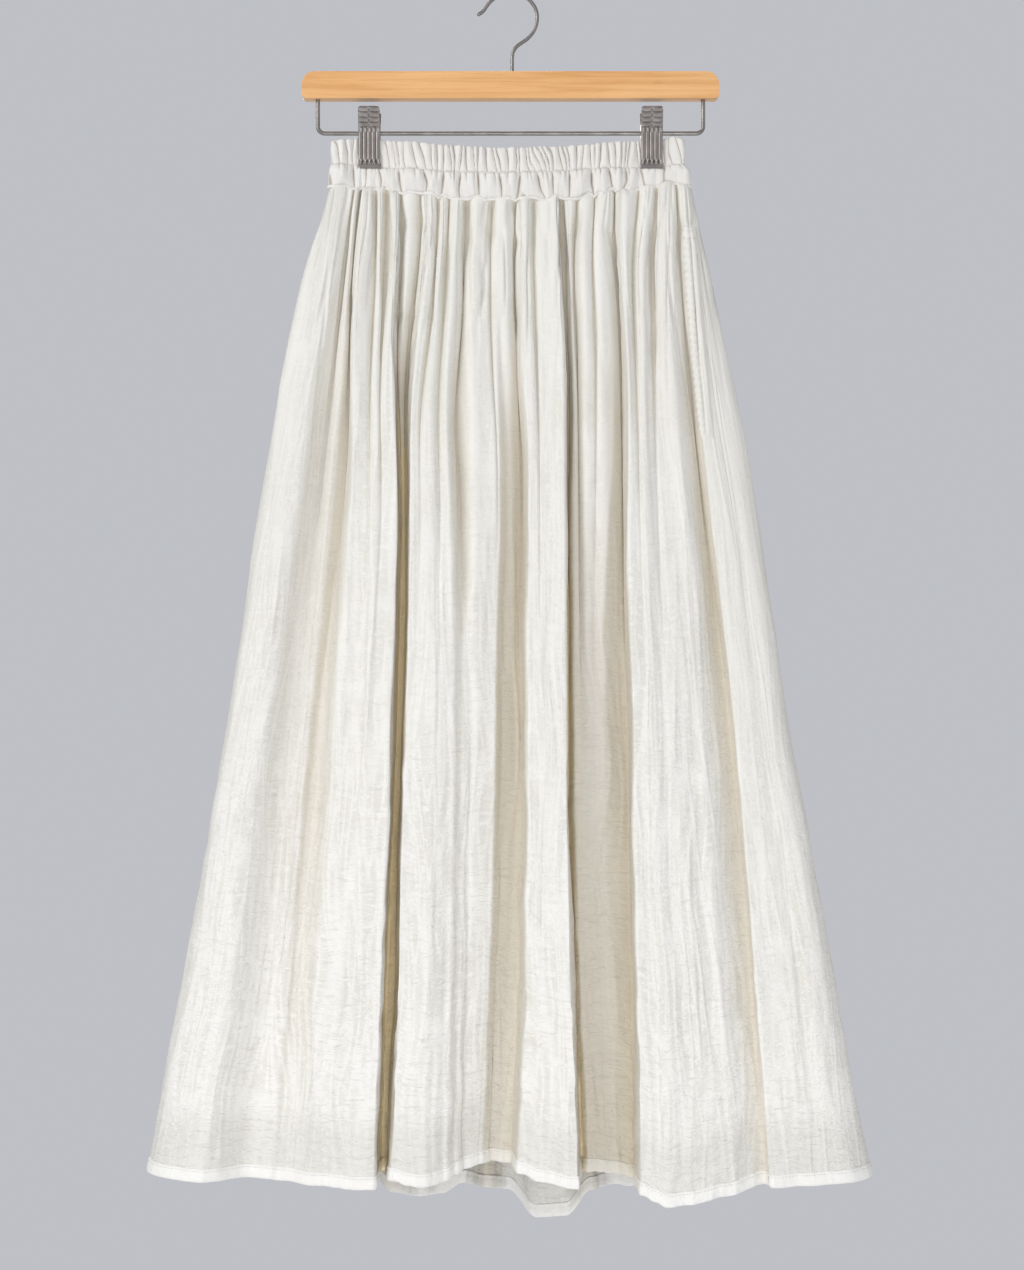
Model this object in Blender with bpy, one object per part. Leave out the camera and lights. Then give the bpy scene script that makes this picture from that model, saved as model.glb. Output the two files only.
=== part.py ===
"""A gathered, pleat-like maxi skirt of cotton double gauze, held by two clips on a wooden skirt hanger.

The row frame has its origin where a rail bears, inside the top of the hanger's hook. +Z is up, the
front of the skirt faces -Y and +X is on the viewer's right. Tables are in millimetres, the scene in metres.

The skirt is one wavy tube, cut at its two side seams into a front and a back panel. Its section at any
height comes from the two fold tables: each row follows one fold from the waist seam down to the hem.
"""

import math
import random
from collections import namedtuple

import bmesh
import bpy
import numpy as np

MM = 0.001
GAP = 0.3  # between two pieces that meet
HEM_GAP = 0.5  # measured down the skirt, where a hem can run on a slope

# Cloth
PANEL_WALL = 1.5
HEM_WALL = 2.6
HEM_DEPTH = 11.0
PANEL_DROP = 831.0  # waist seam to hem at the middle of the front

# Levels down a panel as shares of its drop: waist, hip, thigh, knee and hem
LEVEL_SHARE = (0.0, 0.105, 0.257, 0.563, 1.0)
# Columns of the wall at the right side seam, as shares of its rise
SEAM_RISE = (0.2, 0.5, 0.8)
# How rounded a gather is at each level: 1 has a soft crest over a sharp crease, 0 an even wave
PUFF = (1.0, 0.7, 0.25, 0.0, 0.0)
PUFF_POWER = 2.2
PANEL_ROWS = (0.0, 0.014, 0.045, 0.105, 0.18, 0.27, 0.39, 0.53, 0.69, 0.85, 1.0)
# Just under the waist seam the gathers start at this share of their depth, and are full at that row
PINCH_START = 0.35
PINCH_END = 0.035
TOP_END_ROUND = 9.0
SMALL_SIDE = 11.0  # a side of a fold that stays shorter than this takes one column

# Side outline of the skirt, x at each level
LEFT_SIDE = (-153.5, -179.5, -203.5, -243.5, -310.0)
RIGHT_SIDE = (153.0, 173.5, 199.5, 239.0, 305.0)
LEFT_SIDE_HEM = -1000.5
RIGHT_SIDE_HEM = -1006.5

# One fold of the front. crest and valley are x at each level, the valley being on the fold's right.
# proud and sunk are how far each stands in front of the skirt's middle plane at each level.
# hem is the height of the hem at the crest and at the valley. left and right say how steep its sides are.
Fold = namedtuple("Fold", "name crest valley proud sunk hem left right")
FRONT_FOLDS = (
    Fold("a", (-148, -161, -180, -214, -258), (-133, -143, -157, -184, -222),
         (8, 15, 22, 32, 42), (3, 4, 6, 14, 25), (-1003, -1003), 1.5, 1.8),
    Fold("b", (-130, -138, -148, -173, -203), (-127, -134, -138.5, -166, -196),
         (8, 9, 9, 13, 30), (2, 3, 3, 8, 28), (-1003, -1004.5), 1.5, 1.5),
    Fold("c", (-121, -126, -129, -140, -158), (-115, -113, -117, -127, -144),
         (10, 20, 27, 33, 42), (4, 14, 25, 34, 43), (-1006, -1007), 2.2, 1.5),
    Fold("d", (-110, -108, -111, -121, -134), (-106, -105, -107, -116, -129),
         (9, 17, 28, 38, 46), (3, 11, 27, 38, 47), (-1008, -1008.5), 1.5, 1.5),
    Fold("e", (-99, -97, -95, -103, -116), (-93.5, -92.5, -91.5, -97.5, -110.5),
         (10, 18, 28, 38, 47), (2, 3, -1, -2, 0), (-1008, -1003), 1.5, 3.5),
    Fold("f", (-87, -87, -90, -96, -108.5), (-77, -79.5, -85.5, -93, -105),
         (8, 11, 0, -1, 1), (2, 4, 0, 0, 1), (-1002, -1001), 1.5, 1.5),
    Fold("g", (-67, -69.5, -79.5, -87, -98), (-62, -63, -73, -77, -86),
         (10, 18, 26, 36, 41), (3, 14, 25, 36, 43), (-1002, -1005.5), 3.2, 1.5),
    Fold("h", (-56, -58, -64, -67, -73), (-52, -53, -58, -60, -65),
         (9, 18, 27, 37, 43), (3, 14, 25, 36, 40), (-1006.5, -1006), 1.5, 1.5),
    Fold("i", (-45, -47, -52, -50, -56), (-38, -37, -44, -40, -47),
         (10, 19, 26, 34, 34), (2, 5, 11, 28, 27), (-1004, -1000), 1.5, 2.0),
    Fold("j", (-27, -28, -28, -31, -38), (-16, -16, -12, -14, -26),
         (10, 18, 24, 26, 20), (3, 12, 21, 20, 13), (-996.5, -994), 2.0, 1.5),
    Fold("k", (-6, -6, -5, -7, -19), (4, 4, 7, 8, -2),
         (10, 14, 11, 8, 4), (2, 3, 2, 2, 2), (-993, -995.5), 1.5, 2.0),
    Fold("l", (12, 12.5, 14.5, 18, 10), (20, 21, 23, 26, 24),
         (9, 18, 27, 36, 30), (3, 14, 27, 38, 38), (-999, -1004), 3.2, 1.5),
    Fold("m", (38, 42, 43.5, 45, 56), (43, 46.5, 49.5, 49.5, 61.5),
         (11, 20, 29, 40, 46), (2, 3, -1, -2, 2), (-1008.5, -1002), 1.5, 3.5),
    Fold("n", (50.5, 51.5, 54, 55, 66.5), (56.5, 55, 57, 60, 72),
         (9, 10, 13, 13, 10), (2, 5, 12, 12, 8), (-1001.5, -1001.5), 1.5, 1.5),
    Fold("o", (63, 63, 63, 67, 78), (72, 70, 70, 72, 83),
         (10, 17, 18, 13, 9), (3, 13, 16, 12, 8), (-1002, -1003), 1.8, 1.5),
    Fold("p", (80, 76, 75, 78, 89), (88.5, 91, 94, 99, 104),
         (10, 16, 17, 12, 8), (2, 3, 3, 1, 3), (-1003.5, -1008), 1.5, 1.3),
    Fold("q", (98, 98, 99.5, 105, 110.5), (109, 105, 108, 115, 121),
         (10, 19, 27, 37, 44), (3, 13, 25, 37, 45), (-1014, -1019), 3.5, 1.5),
    Fold("r", (117, 113, 114, 120, 131), (124, 122, 124, 132, 147),
         (10, 18, 27, 38, 47), (3, 10, 21, 34, 44), (-1023, -1021.5), 1.5, 1.5),
    Fold("s", (133, 134, 142, 158, 180), (141, 146, 157.5, 186, 213),
         (10, 16, 22, 28, 38), (3, 5, 6, 11, 24), (-1016, -1009), 1.5, 1.5),
)
# The back panel's edge wraps round to the front at the right, past the side seam
WRAP_FOLDS = (
    Fold("t", (147.5, 153, 163.5, 192, 222), (150.5, 160, 175, 209, 248),
         (9, 14, 20, 27, 34), (8, 12, 18, 26, 32), (-1010, -1009), 3.0, 1.5),
    Fold("u", (152, 165, 184, 222, 275), (153, 173.5, 199.5, 239, 305),
         (6, 11, 16, 23, 27), (0, 0, 0, 0, 0), (-1008, -1006.5), 1.5, 1.5),
)

# One fold of the back. waist and hem are places across the back, 0 at its right side and 1 at its left
# as seen from the front. A pair of gathers runs together into each big fold, so every other valley
# stays deep. ends is the height of the hem at the crest and at the valley after it.
BackFold = namedtuple("BackFold", "name waist hem deep ends")
BACK_FOLDS = (
    BackFold("a", 0.045, 0.050, False, (-1005, -1006)),
    BackFold("b", 0.105, 0.112, True, (-1008, -1011)),
    BackFold("c", 0.185, 0.165, False, (-1012, -1013)),
    BackFold("d", 0.240, 0.243, True, (-1014, -1018)),
    BackFold("e", 0.325, 0.305, False, (-1026, -1028)),
    BackFold("f", 0.380, 0.347, True, (-1027, -1026)),
    BackFold("g", 0.465, 0.418, False, (-1053, -1054)),
    BackFold("h", 0.520, 0.499, True, (-1031, -1024)),
    BackFold("i", 0.605, 0.562, False, (-1026, -1034)),
    BackFold("j", 0.660, 0.625, True, (-1039, -1028)),
    BackFold("k", 0.745, 0.700, False, (-1014, -1010)),
    BackFold("l", 0.812, 0.774, True, (-1010, -1008)),
    BackFold("m", 0.885, 0.842, False, (-1004, -1002)),
    BackFold("n", 0.945, 0.930, True, (-1000, -998)),
)
BACK_PROUD = (9, 15, 25, 41, 53)
BACK_SHALLOW = (6, 11, 22, 39, 50)
BACK_DEEP = (5, 8, 14, 22, 28)
BACK_UNEVEN = 0.2  # share by which one back fold differs from the next

# Waistband: one strip for the front and one for the back, each an elastic channel over a lower casing.
# top, stitch and seam are the heights of its upper edge, of the stitched line and of the gathering seam.
BandStation = namedtuple("BandStation", "x top stitch seam")
BAND_STATIONS = (
    BandStation(-153, -125.5, -144.7, -162.5),
    BandStation(-133, -123.5, -144.7, -162.5),
    BandStation(-112, -124.3, -147.3, -165.9),
    BandStation(-94, -126.0, -148.1, -167.6),
    BandStation(-52, -130.1, -151.5, -171.9),
    BandStation(-10, -132.2, -152.0, -173.2),
    BandStation(42, -131.1, -150.9, -174.2),
    BandStation(68, -129.2, -149.0, -170.2),
    BandStation(93, -126.5, -147.8, -167.0),
    BandStation(121, -124.0, -146.0, -162.5),
    BandStation(131, -123.8, -145.3, -162.0),
    BandStation(139, -121.3, -144.7, -161.7),
    BandStation(148, -125.0, -144.7, -162.5),
)
BAND_LEFT = -151.5
BAND_RIGHT = 147.5
BAND_END_ROUND = 6.0
BAND_OPEN = 5.5  # half the inside opening between the clips
BAND_PINCHED = 0.3  # half the inside opening at a clip
PINCH_FADE = 26.0  # how far from a clip the pinch reaches
BAND_WALL = 1.5
FRONT_GATHERS = 54
BACK_GATHERS = 46
GATHERS_PER_PUFF = 2
GATHER_COLUMNS = (0.0, 0.34, 0.66)  # shares across one gather
BAND_LINE_STEPS = 400
UPPER_GATHER = 1.3
LOWER_PUFF = 2.4
CLIPPED_GATHER = 0.7

# Hanger
BAR_LENGTH = 355.0
BAR_HEIGHT = 23.0
BAR_DEPTH = 14.0
BAR_TOP = -66.5
BAR_TOP_CORNER = 11.0
BAR_LOW_CORNER = 3.5
BAR_EDGE = 1.2
HOOK_WIRE = 3.2
RAIL_WIRE = 3.6
RAIL_HALF = 164.3
RAIL_Z = -118.1
RAIL_CORNER = 6.0
WIRE_SEAT = 8.0  # how deep a wire sits in the bar
CORNER_STEPS = 6

# Clips
CLIP_X = (-120.2, 120.3)
CLIP_TOP_Z = -97.5
CLIP_FOOT_Z = -149.0
CLIP_WIDTH = 18.4
LIP_WIDTH = 20.0
JAW_WALL = 1.0
GRIP = 2.8  # from the middle plane to a jaw's inside at the lip
SPRING_LENGTH = 8.0
SPRING_RADIUS = 4.2
SPRING_SIDES = 16
FLANGE_WALL = 0.9
FLANGE_INSET = 0.05
FLANGE_ABOVE = 7.0  # the rail
FLANGE_BELOW = 4.5
NOTCH_STEPS = 6

# Finishes: colour, roughness and metallic value
Finish = namedtuple("Finish", "colour roughness metallic")
CLOTH = Finish((0.86, 0.84, 0.78), 0.9, 0.0)
WOOD = Finish((0.78, 0.47, 0.22), 0.45, 0.0)
STEEL = Finish((0.42, 0.39, 0.36), 0.35, 1.0)


def smooth_rows(values, shares):
    """Monotone cubic through the level values of each column, read at the given shares of the drop."""
    values = np.asarray(values, float)
    knots = np.asarray(LEVEL_SHARE)
    steps = np.diff(knots)
    slopes = np.diff(values, axis=1) / steps
    inner = np.zeros_like(values)
    inner[:, 0] = slopes[:, 0]
    inner[:, -1] = slopes[:, -1]
    for k in range(1, len(knots) - 1):
        before, after = slopes[:, k - 1], slopes[:, k]
        same = before * after > 0
        mean = 2 * before * after / np.where(same, before + after, 1.0)
        inner[:, k] = np.where(same, mean, 0.0)
    rows = []
    for share in shares:
        k = min(int(np.searchsorted(knots, share, side="right")) - 1, len(steps) - 1)
        k = max(k, 0)
        t = (share - knots[k]) / steps[k]
        near = (1 + 2 * t) * (1 - t) ** 2
        far = t * t * (3 - 2 * t)
        rows.append(
            near * values[:, k]
            + far * values[:, k + 1]
            + steps[k] * (t * (1 - t) ** 2 * inner[:, k] - t * t * (1 - t) * inner[:, k + 1])
        )
    return np.array(rows)


def table_line(x, stations, field):
    """A smooth line through one column of a table of stations."""
    xs = [s.x for s in stations]
    values = [getattr(s, field) for s in stations]
    x = min(max(x, xs[0]), xs[-1])
    k = max(i for i in range(len(xs) - 1) if xs[i] <= x)
    t = (x - xs[k]) / (xs[k + 1] - xs[k])
    ease = t * t * (3 - 2 * t)
    return values[k] + (values[k + 1] - values[k]) * (0.5 * t + 0.5 * ease)


def end_round(x, left, right, radius):
    """1 along a flat loop, falling to 0 in a round at either end."""
    over = max(x - (right - radius), (left + radius) - x, 0.0) / radius
    return math.sqrt(max(0.0, 1.0 - min(over, 1.0) ** 2))


def clip_closeness(x):
    """1 in a clip's jaws and 0 well away from both."""
    away = min(abs(x - c) for c in CLIP_X)
    t = min(max((away - CLIP_WIDTH * 0.55) / PINCH_FADE, 0.0), 1.0)
    return 1.0 - t * t * (3 - 2 * t)


def band_inside(x):
    """Half the waist opening at x: open between the clips, pinched shut in their jaws."""
    return BAND_OPEN + (BAND_PINCHED - BAND_OPEN) * clip_closeness(x)


def steep(t, power):
    """An S-shaped step whose middle is steeper for a larger power."""
    return t**power / (t**power + (1 - t) ** power)


def wall_between(crest, valley, t, power):
    """x, depth and hem height t of the way down one side of a fold, at every level."""
    depth_share = [puff * t**PUFF_POWER + (1 - puff) * steep(t, power) for puff in PUFF]
    x = [a + (b - a) * t for a, b in zip(crest[0], valley[0])]
    y = [a + (b - a) * s for a, b, s in zip(crest[1], valley[1], depth_share)]
    hem = crest[2] + (valley[2] - crest[2]) * depth_share[-1]
    return x, y, hem


def round_between(side, crest, t):
    """A quarter round from a side's outermost line to the crest beside it."""
    along = 1 - math.cos(math.pi / 2 * t)
    up = math.sin(math.pi / 2 * t)
    x = [a + (b - a) * along for a, b in zip(side[0], crest[0])]
    y = [a + (b - a) * up for a, b in zip(side[1], crest[1])]
    return x, y, side[2] + (crest[2] - side[2]) * along


def crest_of(fold):
    return fold.crest, fold.proud, fold.hem[0]


def valley_of(fold):
    return fold.valley, fold.sunk, fold.hem[1]


def back_folds():
    """The back's table as folds of the same kind, with depths measured behind the middle plane."""
    uneven = random.Random(11)
    span = [(r, l - r) for l, r in zip(LEFT_SIDE, RIGHT_SIDE)]

    def across(waist, hem):
        shares = [waist + (hem - waist) * s for s in LEVEL_SHARE]
        return [r + width * share for (r, width), share in zip(span, shares)]

    folds = []
    for row, after in zip(BACK_FOLDS, BACK_FOLDS[1:] + (None,)):
        if after is None:
            next_waist, next_hem = 1.0, 1.0
        else:
            next_waist, next_hem = after.waist, after.hem
        rise = 1 + uneven.uniform(-BACK_UNEVEN, BACK_UNEVEN)
        sunk = BACK_DEEP if row.deep else BACK_SHALLOW
        folds.append(
            Fold(
                row.name,
                across(row.waist, row.hem),
                across((row.waist + next_waist) / 2, (row.hem + next_hem) / 2),
                [p * (1 + (rise - 1) * s) for p, s in zip(BACK_PROUD, LEVEL_SHARE)],
                [min(p * (1 + (rise - 1) * s), q) for p, q, s in zip(BACK_PROUD, sunk, LEVEL_SHARE)],
                row.ends,
                1.6,
                1.6,
            )
        )
    return folds


def steps_down(crest, valley, steps):
    """Fewer columns for a side of a fold that stays small all the way down."""
    longest = max(math.hypot(b - a, d - c) for a, b, c, d in zip(crest[0], valley[0], crest[1], valley[1]))
    return 1 if longest < SMALL_SIDE else steps


def down_side(crest, valley, power, steps):
    """Columns from a crest towards the valley on its right, without the valley."""
    count = steps_down(crest, valley, steps)
    return [wall_between(crest, valley, i / count, power) for i in range(count)]


def up_side(valley, crest, power, steps):
    """Columns from a valley towards the crest on its right, without the crest."""
    count = steps_down(crest, valley, steps)
    return [wall_between(crest, valley, 1 - i / count, power) for i in range(count)]


def panel_columns(folds, start, finish, steps):
    """Columns from a start line over every crest and valley to a finish line."""
    columns = []
    if start is not None:
        columns += [round_between(start, crest_of(folds[0]), i / steps) for i in range(steps)]
    for k, fold in enumerate(folds):
        crest, valley = crest_of(fold), valley_of(fold)
        if k == len(folds) - 1 and finish is not None:
            columns += [round_between(finish, crest, 1 - i / steps) for i in range(steps + 1)]
            break
        columns += down_side(crest, valley, fold.right, steps)
        if k == len(folds) - 1:
            columns.append(valley)
            break
        columns += up_side(valley, crest_of(folds[k + 1]), folds[k + 1].left, steps)
    return columns


def signed(columns, side):
    """Depths as y: the front stands towards -Y and the back towards +Y."""
    return [(x, [side * v for v in y], hem) for x, y, hem in columns]


def skirt_columns(steps_front=3, steps_back=3):
    """The front panel's and the back panel's columns, each from seam to seam, anticlockwise from above."""
    left = (LEFT_SIDE, (0,) * 5, LEFT_SIDE_HEM)
    right = (RIGHT_SIDE, (0,) * 5, RIGHT_SIDE_HEM)
    front = panel_columns(FRONT_FOLDS, left, None, steps_front)
    foot, edge = valley_of(FRONT_FOLDS[-1]), crest_of(WRAP_FOLDS[0])
    power = WRAP_FOLDS[0].left
    # The right side seam runs half way up the wall between the last front fold and the wrapped edge
    rise = [wall_between(edge, foot, 1 - share, power) for share in SEAM_RISE]
    seam = SEAM_RISE.index(0.5)
    front = signed(front + rise[: seam + 1], -1)
    wrap = signed(rise[seam:] + panel_columns(WRAP_FOLDS, None, right, steps_front), -1)
    rear = signed(panel_columns(back_folds(), right, left, steps_back), 1)
    # The left side seam lies behind the outline, so the back's last columns belong to the front panel
    back = wrap[:-1] + rear[:-1]
    front = rear[-2:-1] + front
    return front, back


def panel_grid(columns, shares):
    """Rows of points down a panel, from columns of level values."""
    xs = smooth_rows([c[0] for c in columns], shares)
    ys = smooth_rows([c[1] for c in columns], shares)
    hems = np.array([c[2] for c in columns], float)
    grid = np.zeros((len(shares), len(columns), 3))
    for r, share in enumerate(shares):
        blend = min(share / PINCH_END, 1.0)
        full = PINCH_START + (1 - PINCH_START) * blend * blend * (3 - 2 * blend)
        for c in range(len(columns)):
            x, y = xs[r, c], ys[r, c]
            if full < 1.0:
                side = -1 if y < 0 else 1
                rounded = end_round(x, LEFT_SIDE[0], RIGHT_SIDE[0], TOP_END_ROUND)
                base = side * (band_inside(x) + BAND_WALL) * rounded
                y = base + (y - base) * full
            top = table_line(x if share < 0.5 else xs[0, c], BAND_STATIONS, "seam") - GAP
            grid[r, c] = x, y, top + (hems[c] - top) * share
    return grid


def turned(grid, axis):
    """The mean of the two unit directions at each point of a grid, along one of its axes."""
    step = np.diff(grid, axis=axis)
    step /= np.maximum(np.linalg.norm(step, axis=2, keepdims=True), 1e-9)
    first = np.take(step, [0], axis=axis)
    last = np.take(step, [-1], axis=axis)
    before = np.concatenate([first, step], axis=axis)
    after = np.concatenate([step, last], axis=axis)
    return before + after


def normals_of(grid):
    """Outward directions of an anticlockwise grid whose rows run down."""
    normal = np.cross(turned(grid, 0), turned(grid, 1))
    return normal / np.maximum(np.linalg.norm(normal, axis=2, keepdims=True), 1e-9)


def new_object(name, vertices, faces, look):
    """An object from points in millimetres, with its own material."""
    mesh = bpy.data.meshes.new(name)
    mesh.from_pydata([tuple(MM * v for v in p) for p in vertices], [], faces)
    mesh.validate()
    piece = bpy.data.objects.new(name, mesh)
    bpy.context.scene.collection.objects.link(piece)
    finish(piece, look)
    return piece


def finish(piece, look):
    """Gives the piece its material and smooth shading."""
    material = bpy.data.materials.new(piece.name)
    material.use_nodes = True
    shader = material.node_tree.nodes["Principled BSDF"]
    shader.inputs["Base Color"].default_value = (*look.colour, 1)
    shader.inputs["Roughness"].default_value = look.roughness
    shader.inputs["Metallic"].default_value = look.metallic
    piece.data.materials.append(material)
    if piece.type == "MESH":
        piece.data.shade_smooth()
        piece.data.set_sharp_from_angle(angle=math.radians(50))


def face_outwards(piece):
    """Cuts the piece's faces into triangles and turns them all outwards."""
    model = bmesh.new()
    model.from_mesh(piece.data)
    bmesh.ops.recalc_face_normals(model, faces=model.faces)
    bmesh.ops.triangulate(model, faces=model.faces)
    model.to_mesh(piece.data)
    model.free()


def sheet_solid(name, grid, thickness):
    """A closed wall of even thickness on a grid of middle points."""
    normals = normals_of(grid)
    outer = grid + normals * thickness / 2
    inner = grid - normals * thickness / 2
    rows, cols = grid.shape[:2]
    vertices = [tuple(p) for p in outer.reshape(-1, 3)] + [tuple(p) for p in inner.reshape(-1, 3)]
    count = rows * cols

    def at(r, c, inside=False):
        return r * cols + c + (count if inside else 0)

    faces = []
    for r in range(rows - 1):
        for c in range(cols - 1):
            faces.append((at(r, c), at(r + 1, c), at(r + 1, c + 1), at(r, c + 1)))
            faces.append((at(r, c, True), at(r, c + 1, True), at(r + 1, c + 1, True), at(r + 1, c, True)))
    for c in range(cols - 1):
        faces.append((at(0, c), at(0, c + 1), at(0, c + 1, True), at(0, c, True)))
        low = rows - 1
        faces.append((at(low, c), at(low, c, True), at(low, c + 1, True), at(low, c + 1)))
    for r in range(rows - 1):
        right = cols - 1
        faces.append((at(r, 0), at(r, 0, True), at(r + 1, 0, True), at(r + 1, 0)))
        faces.append((at(r, right), at(r + 1, right), at(r + 1, right, True), at(r, right, True)))
    new_object(name, vertices, faces, CLOTH)


def part_at_seam(grid, other, edge, thickness):
    """Draws the grid's edge in from the seam shared with the other grid, so that the walls stay apart."""
    mine, inner, beyond = (0, 1, -2) if edge == "start" else (-1, -2, 1)
    inward = grid[:, inner] - grid[:, mine]
    length = np.linalg.norm(inward, axis=1, keepdims=True)
    inward = inward / length
    onward = other[:, beyond] - grid[:, mine]
    onward = onward / np.linalg.norm(onward, axis=1, keepdims=True)
    half_turn = np.arccos(np.clip(-np.sum(inward * onward, axis=1, keepdims=True), -1, 1)) / 2
    back_off = GAP / 2 + thickness / 2 * np.tan(half_turn)
    moved = grid.copy()
    moved[:, mine] += inward * np.minimum(back_off, 0.8 * length)
    return moved


def make_skirt():
    """Front and back panels with their turned hems."""
    columns = skirt_columns()
    hem_share = HEM_DEPTH / PANEL_DROP
    gap_share = HEM_GAP / PANEL_DROP
    panel_shares = [share * (1 - hem_share - gap_share) for share in PANEL_ROWS]
    pieces = (
        ("panel", panel_shares, PANEL_WALL),
        ("hem", [1 - hem_share, 1.0], HEM_WALL),
    )
    for kind, shares, wall in pieces:
        front, back = (panel_grid(side, shares) for side in columns)
        for label, grid, other in (("front", front, back), ("back", back, front)):
            grid = part_at_seam(grid, other, "start", wall)
            grid = part_at_seam(grid, other, "end", wall)
            sheet_solid(f"{label}_{kind}", grid, wall)


def band_line(side):
    """Dense points of the band's inside line from its left end to its right end."""
    points = []
    for i in range(BAND_LINE_STEPS + 1):
        part_way = i / BAND_LINE_STEPS
        turn = math.pi * part_way
        spread = 0.5 - 0.5 * math.cos(turn)
        x = BAND_LEFT + (BAND_RIGHT - BAND_LEFT) * (0.25 * spread + 0.75 * part_way)
        depth = GAP / 2 + band_inside(x) * end_round(x, BAND_LEFT, BAND_RIGHT, BAND_END_ROUND)
        points.append((x, side * depth))
    return np.array(points)


def make_band(name, side, gathers, seed):
    """A gathered strip: fine gathers over the elastic, wider puffs below the stitched line."""
    uneven = random.Random(seed)
    line = band_line(side)
    along = np.concatenate([[0], np.cumsum(np.linalg.norm(np.diff(line, axis=0), axis=1))])
    widths = np.array([uneven.uniform(0.7, 1.3) for _ in range(gathers)])
    edges = np.concatenate([[0], np.cumsum(widths)]) / widths.sum() * along[-1]
    tangent = np.gradient(line, axis=0)
    tangent /= np.linalg.norm(tangent, axis=1, keepdims=True)
    # A line from left to right has its outside on its right for the front and on its left for the back
    outward = np.stack([tangent[:, 1], -tangent[:, 0]], axis=1) * -side

    def at(distance):
        place = np.array([np.interp(distance, along, line[:, k]) for k in (0, 1)])
        way = np.array([np.interp(distance, along, outward[:, k]) for k in (0, 1)])
        return place, way / np.linalg.norm(way)

    heights = [uneven.uniform(0.75, 1.15) for _ in range(gathers)]
    puffs = [uneven.uniform(0.7, 1.2) for _ in range(gathers // GATHERS_PER_PUFF + 1)]
    outer_rows = [[], [], [], [], []]
    inner_top, inner_low = [], []
    for g in range(gathers):
        place, _ = at(edges[g])
        inner_top.append((*place, table_line(place[0], BAND_STATIONS, "top")))
        inner_low.append((*place, table_line(place[0], BAND_STATIONS, "seam")))
        for share in GATHER_COLUMNS:
            distance = edges[g] + (edges[g + 1] - edges[g]) * share
            append_band_column(outer_rows, at(distance), share > 0, heights[g], puff_share(g, share), puffs)
    place, way = at(along[-1])
    inner_top.append((*place, table_line(place[0], BAND_STATIONS, "top")))
    inner_low.append((*place, table_line(place[0], BAND_STATIONS, "seam")))
    append_band_column(outer_rows, (place, way), False, 1.0, puff_share(gathers, 0.0), puffs)
    band_solid(name, outer_rows, inner_top, inner_low, gathers, side)


def puff_share(gather, share):
    """Which lower puff a column is in, and how far across it, from 0 to 1."""
    place = (gather + share) / GATHERS_PER_PUFF
    return int(place), place - int(place)


def append_band_column(rows, placed, raised, height, puff, puffs):
    """Adds one outer column of the band: top edge, upper gather, stitched line, lower puff, seam edge."""
    (x, y), way = placed
    number, across = puff
    near = clip_closeness(x)
    gather = (UPPER_GATHER + (CLIPPED_GATHER - UPPER_GATHER) * near) * height if raised else 0.0
    round_puff = math.sin(math.pi * across) ** 0.7 if across > 0 else 0.0
    swell = LOWER_PUFF * puffs[min(number, len(puffs) - 1)] * round_puff * (1 - 0.8 * near)
    z_top = table_line(x, BAND_STATIONS, "top")
    z_stitch = table_line(x, BAND_STATIONS, "stitch")
    z_seam = table_line(x, BAND_STATIONS, "seam")
    stations = (
        (z_top, gather * 0.8),
        ((z_top + z_stitch) / 2, gather),
        (z_stitch, gather * 0.35),
        ((z_stitch + z_seam) / 2, swell),
        (z_seam, swell * 0.45),
    )
    for row, (z, extra) in zip(rows, stations):
        out = BAND_WALL + extra
        row.append((x + way[0] * out, y + way[1] * out, z))


def band_solid(name, outer_rows, inner_top, inner_low, gathers, side):
    """Closes the band: a gathered outside, a plain inside, and fans of triangles along both rims."""
    vertices, faces = [], []
    starts = []
    for row in (*outer_rows, inner_top, inner_low):
        starts.append(len(vertices))
        vertices += row
    columns = len(outer_rows[0])
    for r in range(len(outer_rows) - 1):
        for c in range(columns - 1):
            a, b = starts[r] + c, starts[r + 1] + c
            faces.append((a, b, b + 1, a + 1))
    top, low = starts[-2], starts[-1]
    for g in range(gathers):
        faces.append((top + g, top + g + 1, low + g + 1, low + g))
    for inner, outer, flip in ((top, starts[0], False), (low, starts[len(outer_rows) - 1], True)):
        for g in range(gathers):
            o = outer + g * len(GATHER_COLUMNS)
            fan = [
                (inner + g, o, o + 1),
                (inner + g, o + 1, o + 2),
                (inner + g, o + 2, inner + g + 1),
                (inner + g + 1, o + 2, o + 3),
            ]
            faces += [f[::-1] for f in fan] if flip else fan
    last = columns - 1
    left_rim = [starts[r] for r in range(len(outer_rows))]
    right_rim = [starts[r] + last for r in range(len(outer_rows))]
    faces.append((top, low, *left_rim[::-1]))
    faces.append((*right_rim, low + gathers, top + gathers))
    piece = new_object(name, vertices, faces, CLOTH)
    face_outwards(piece)


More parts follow.
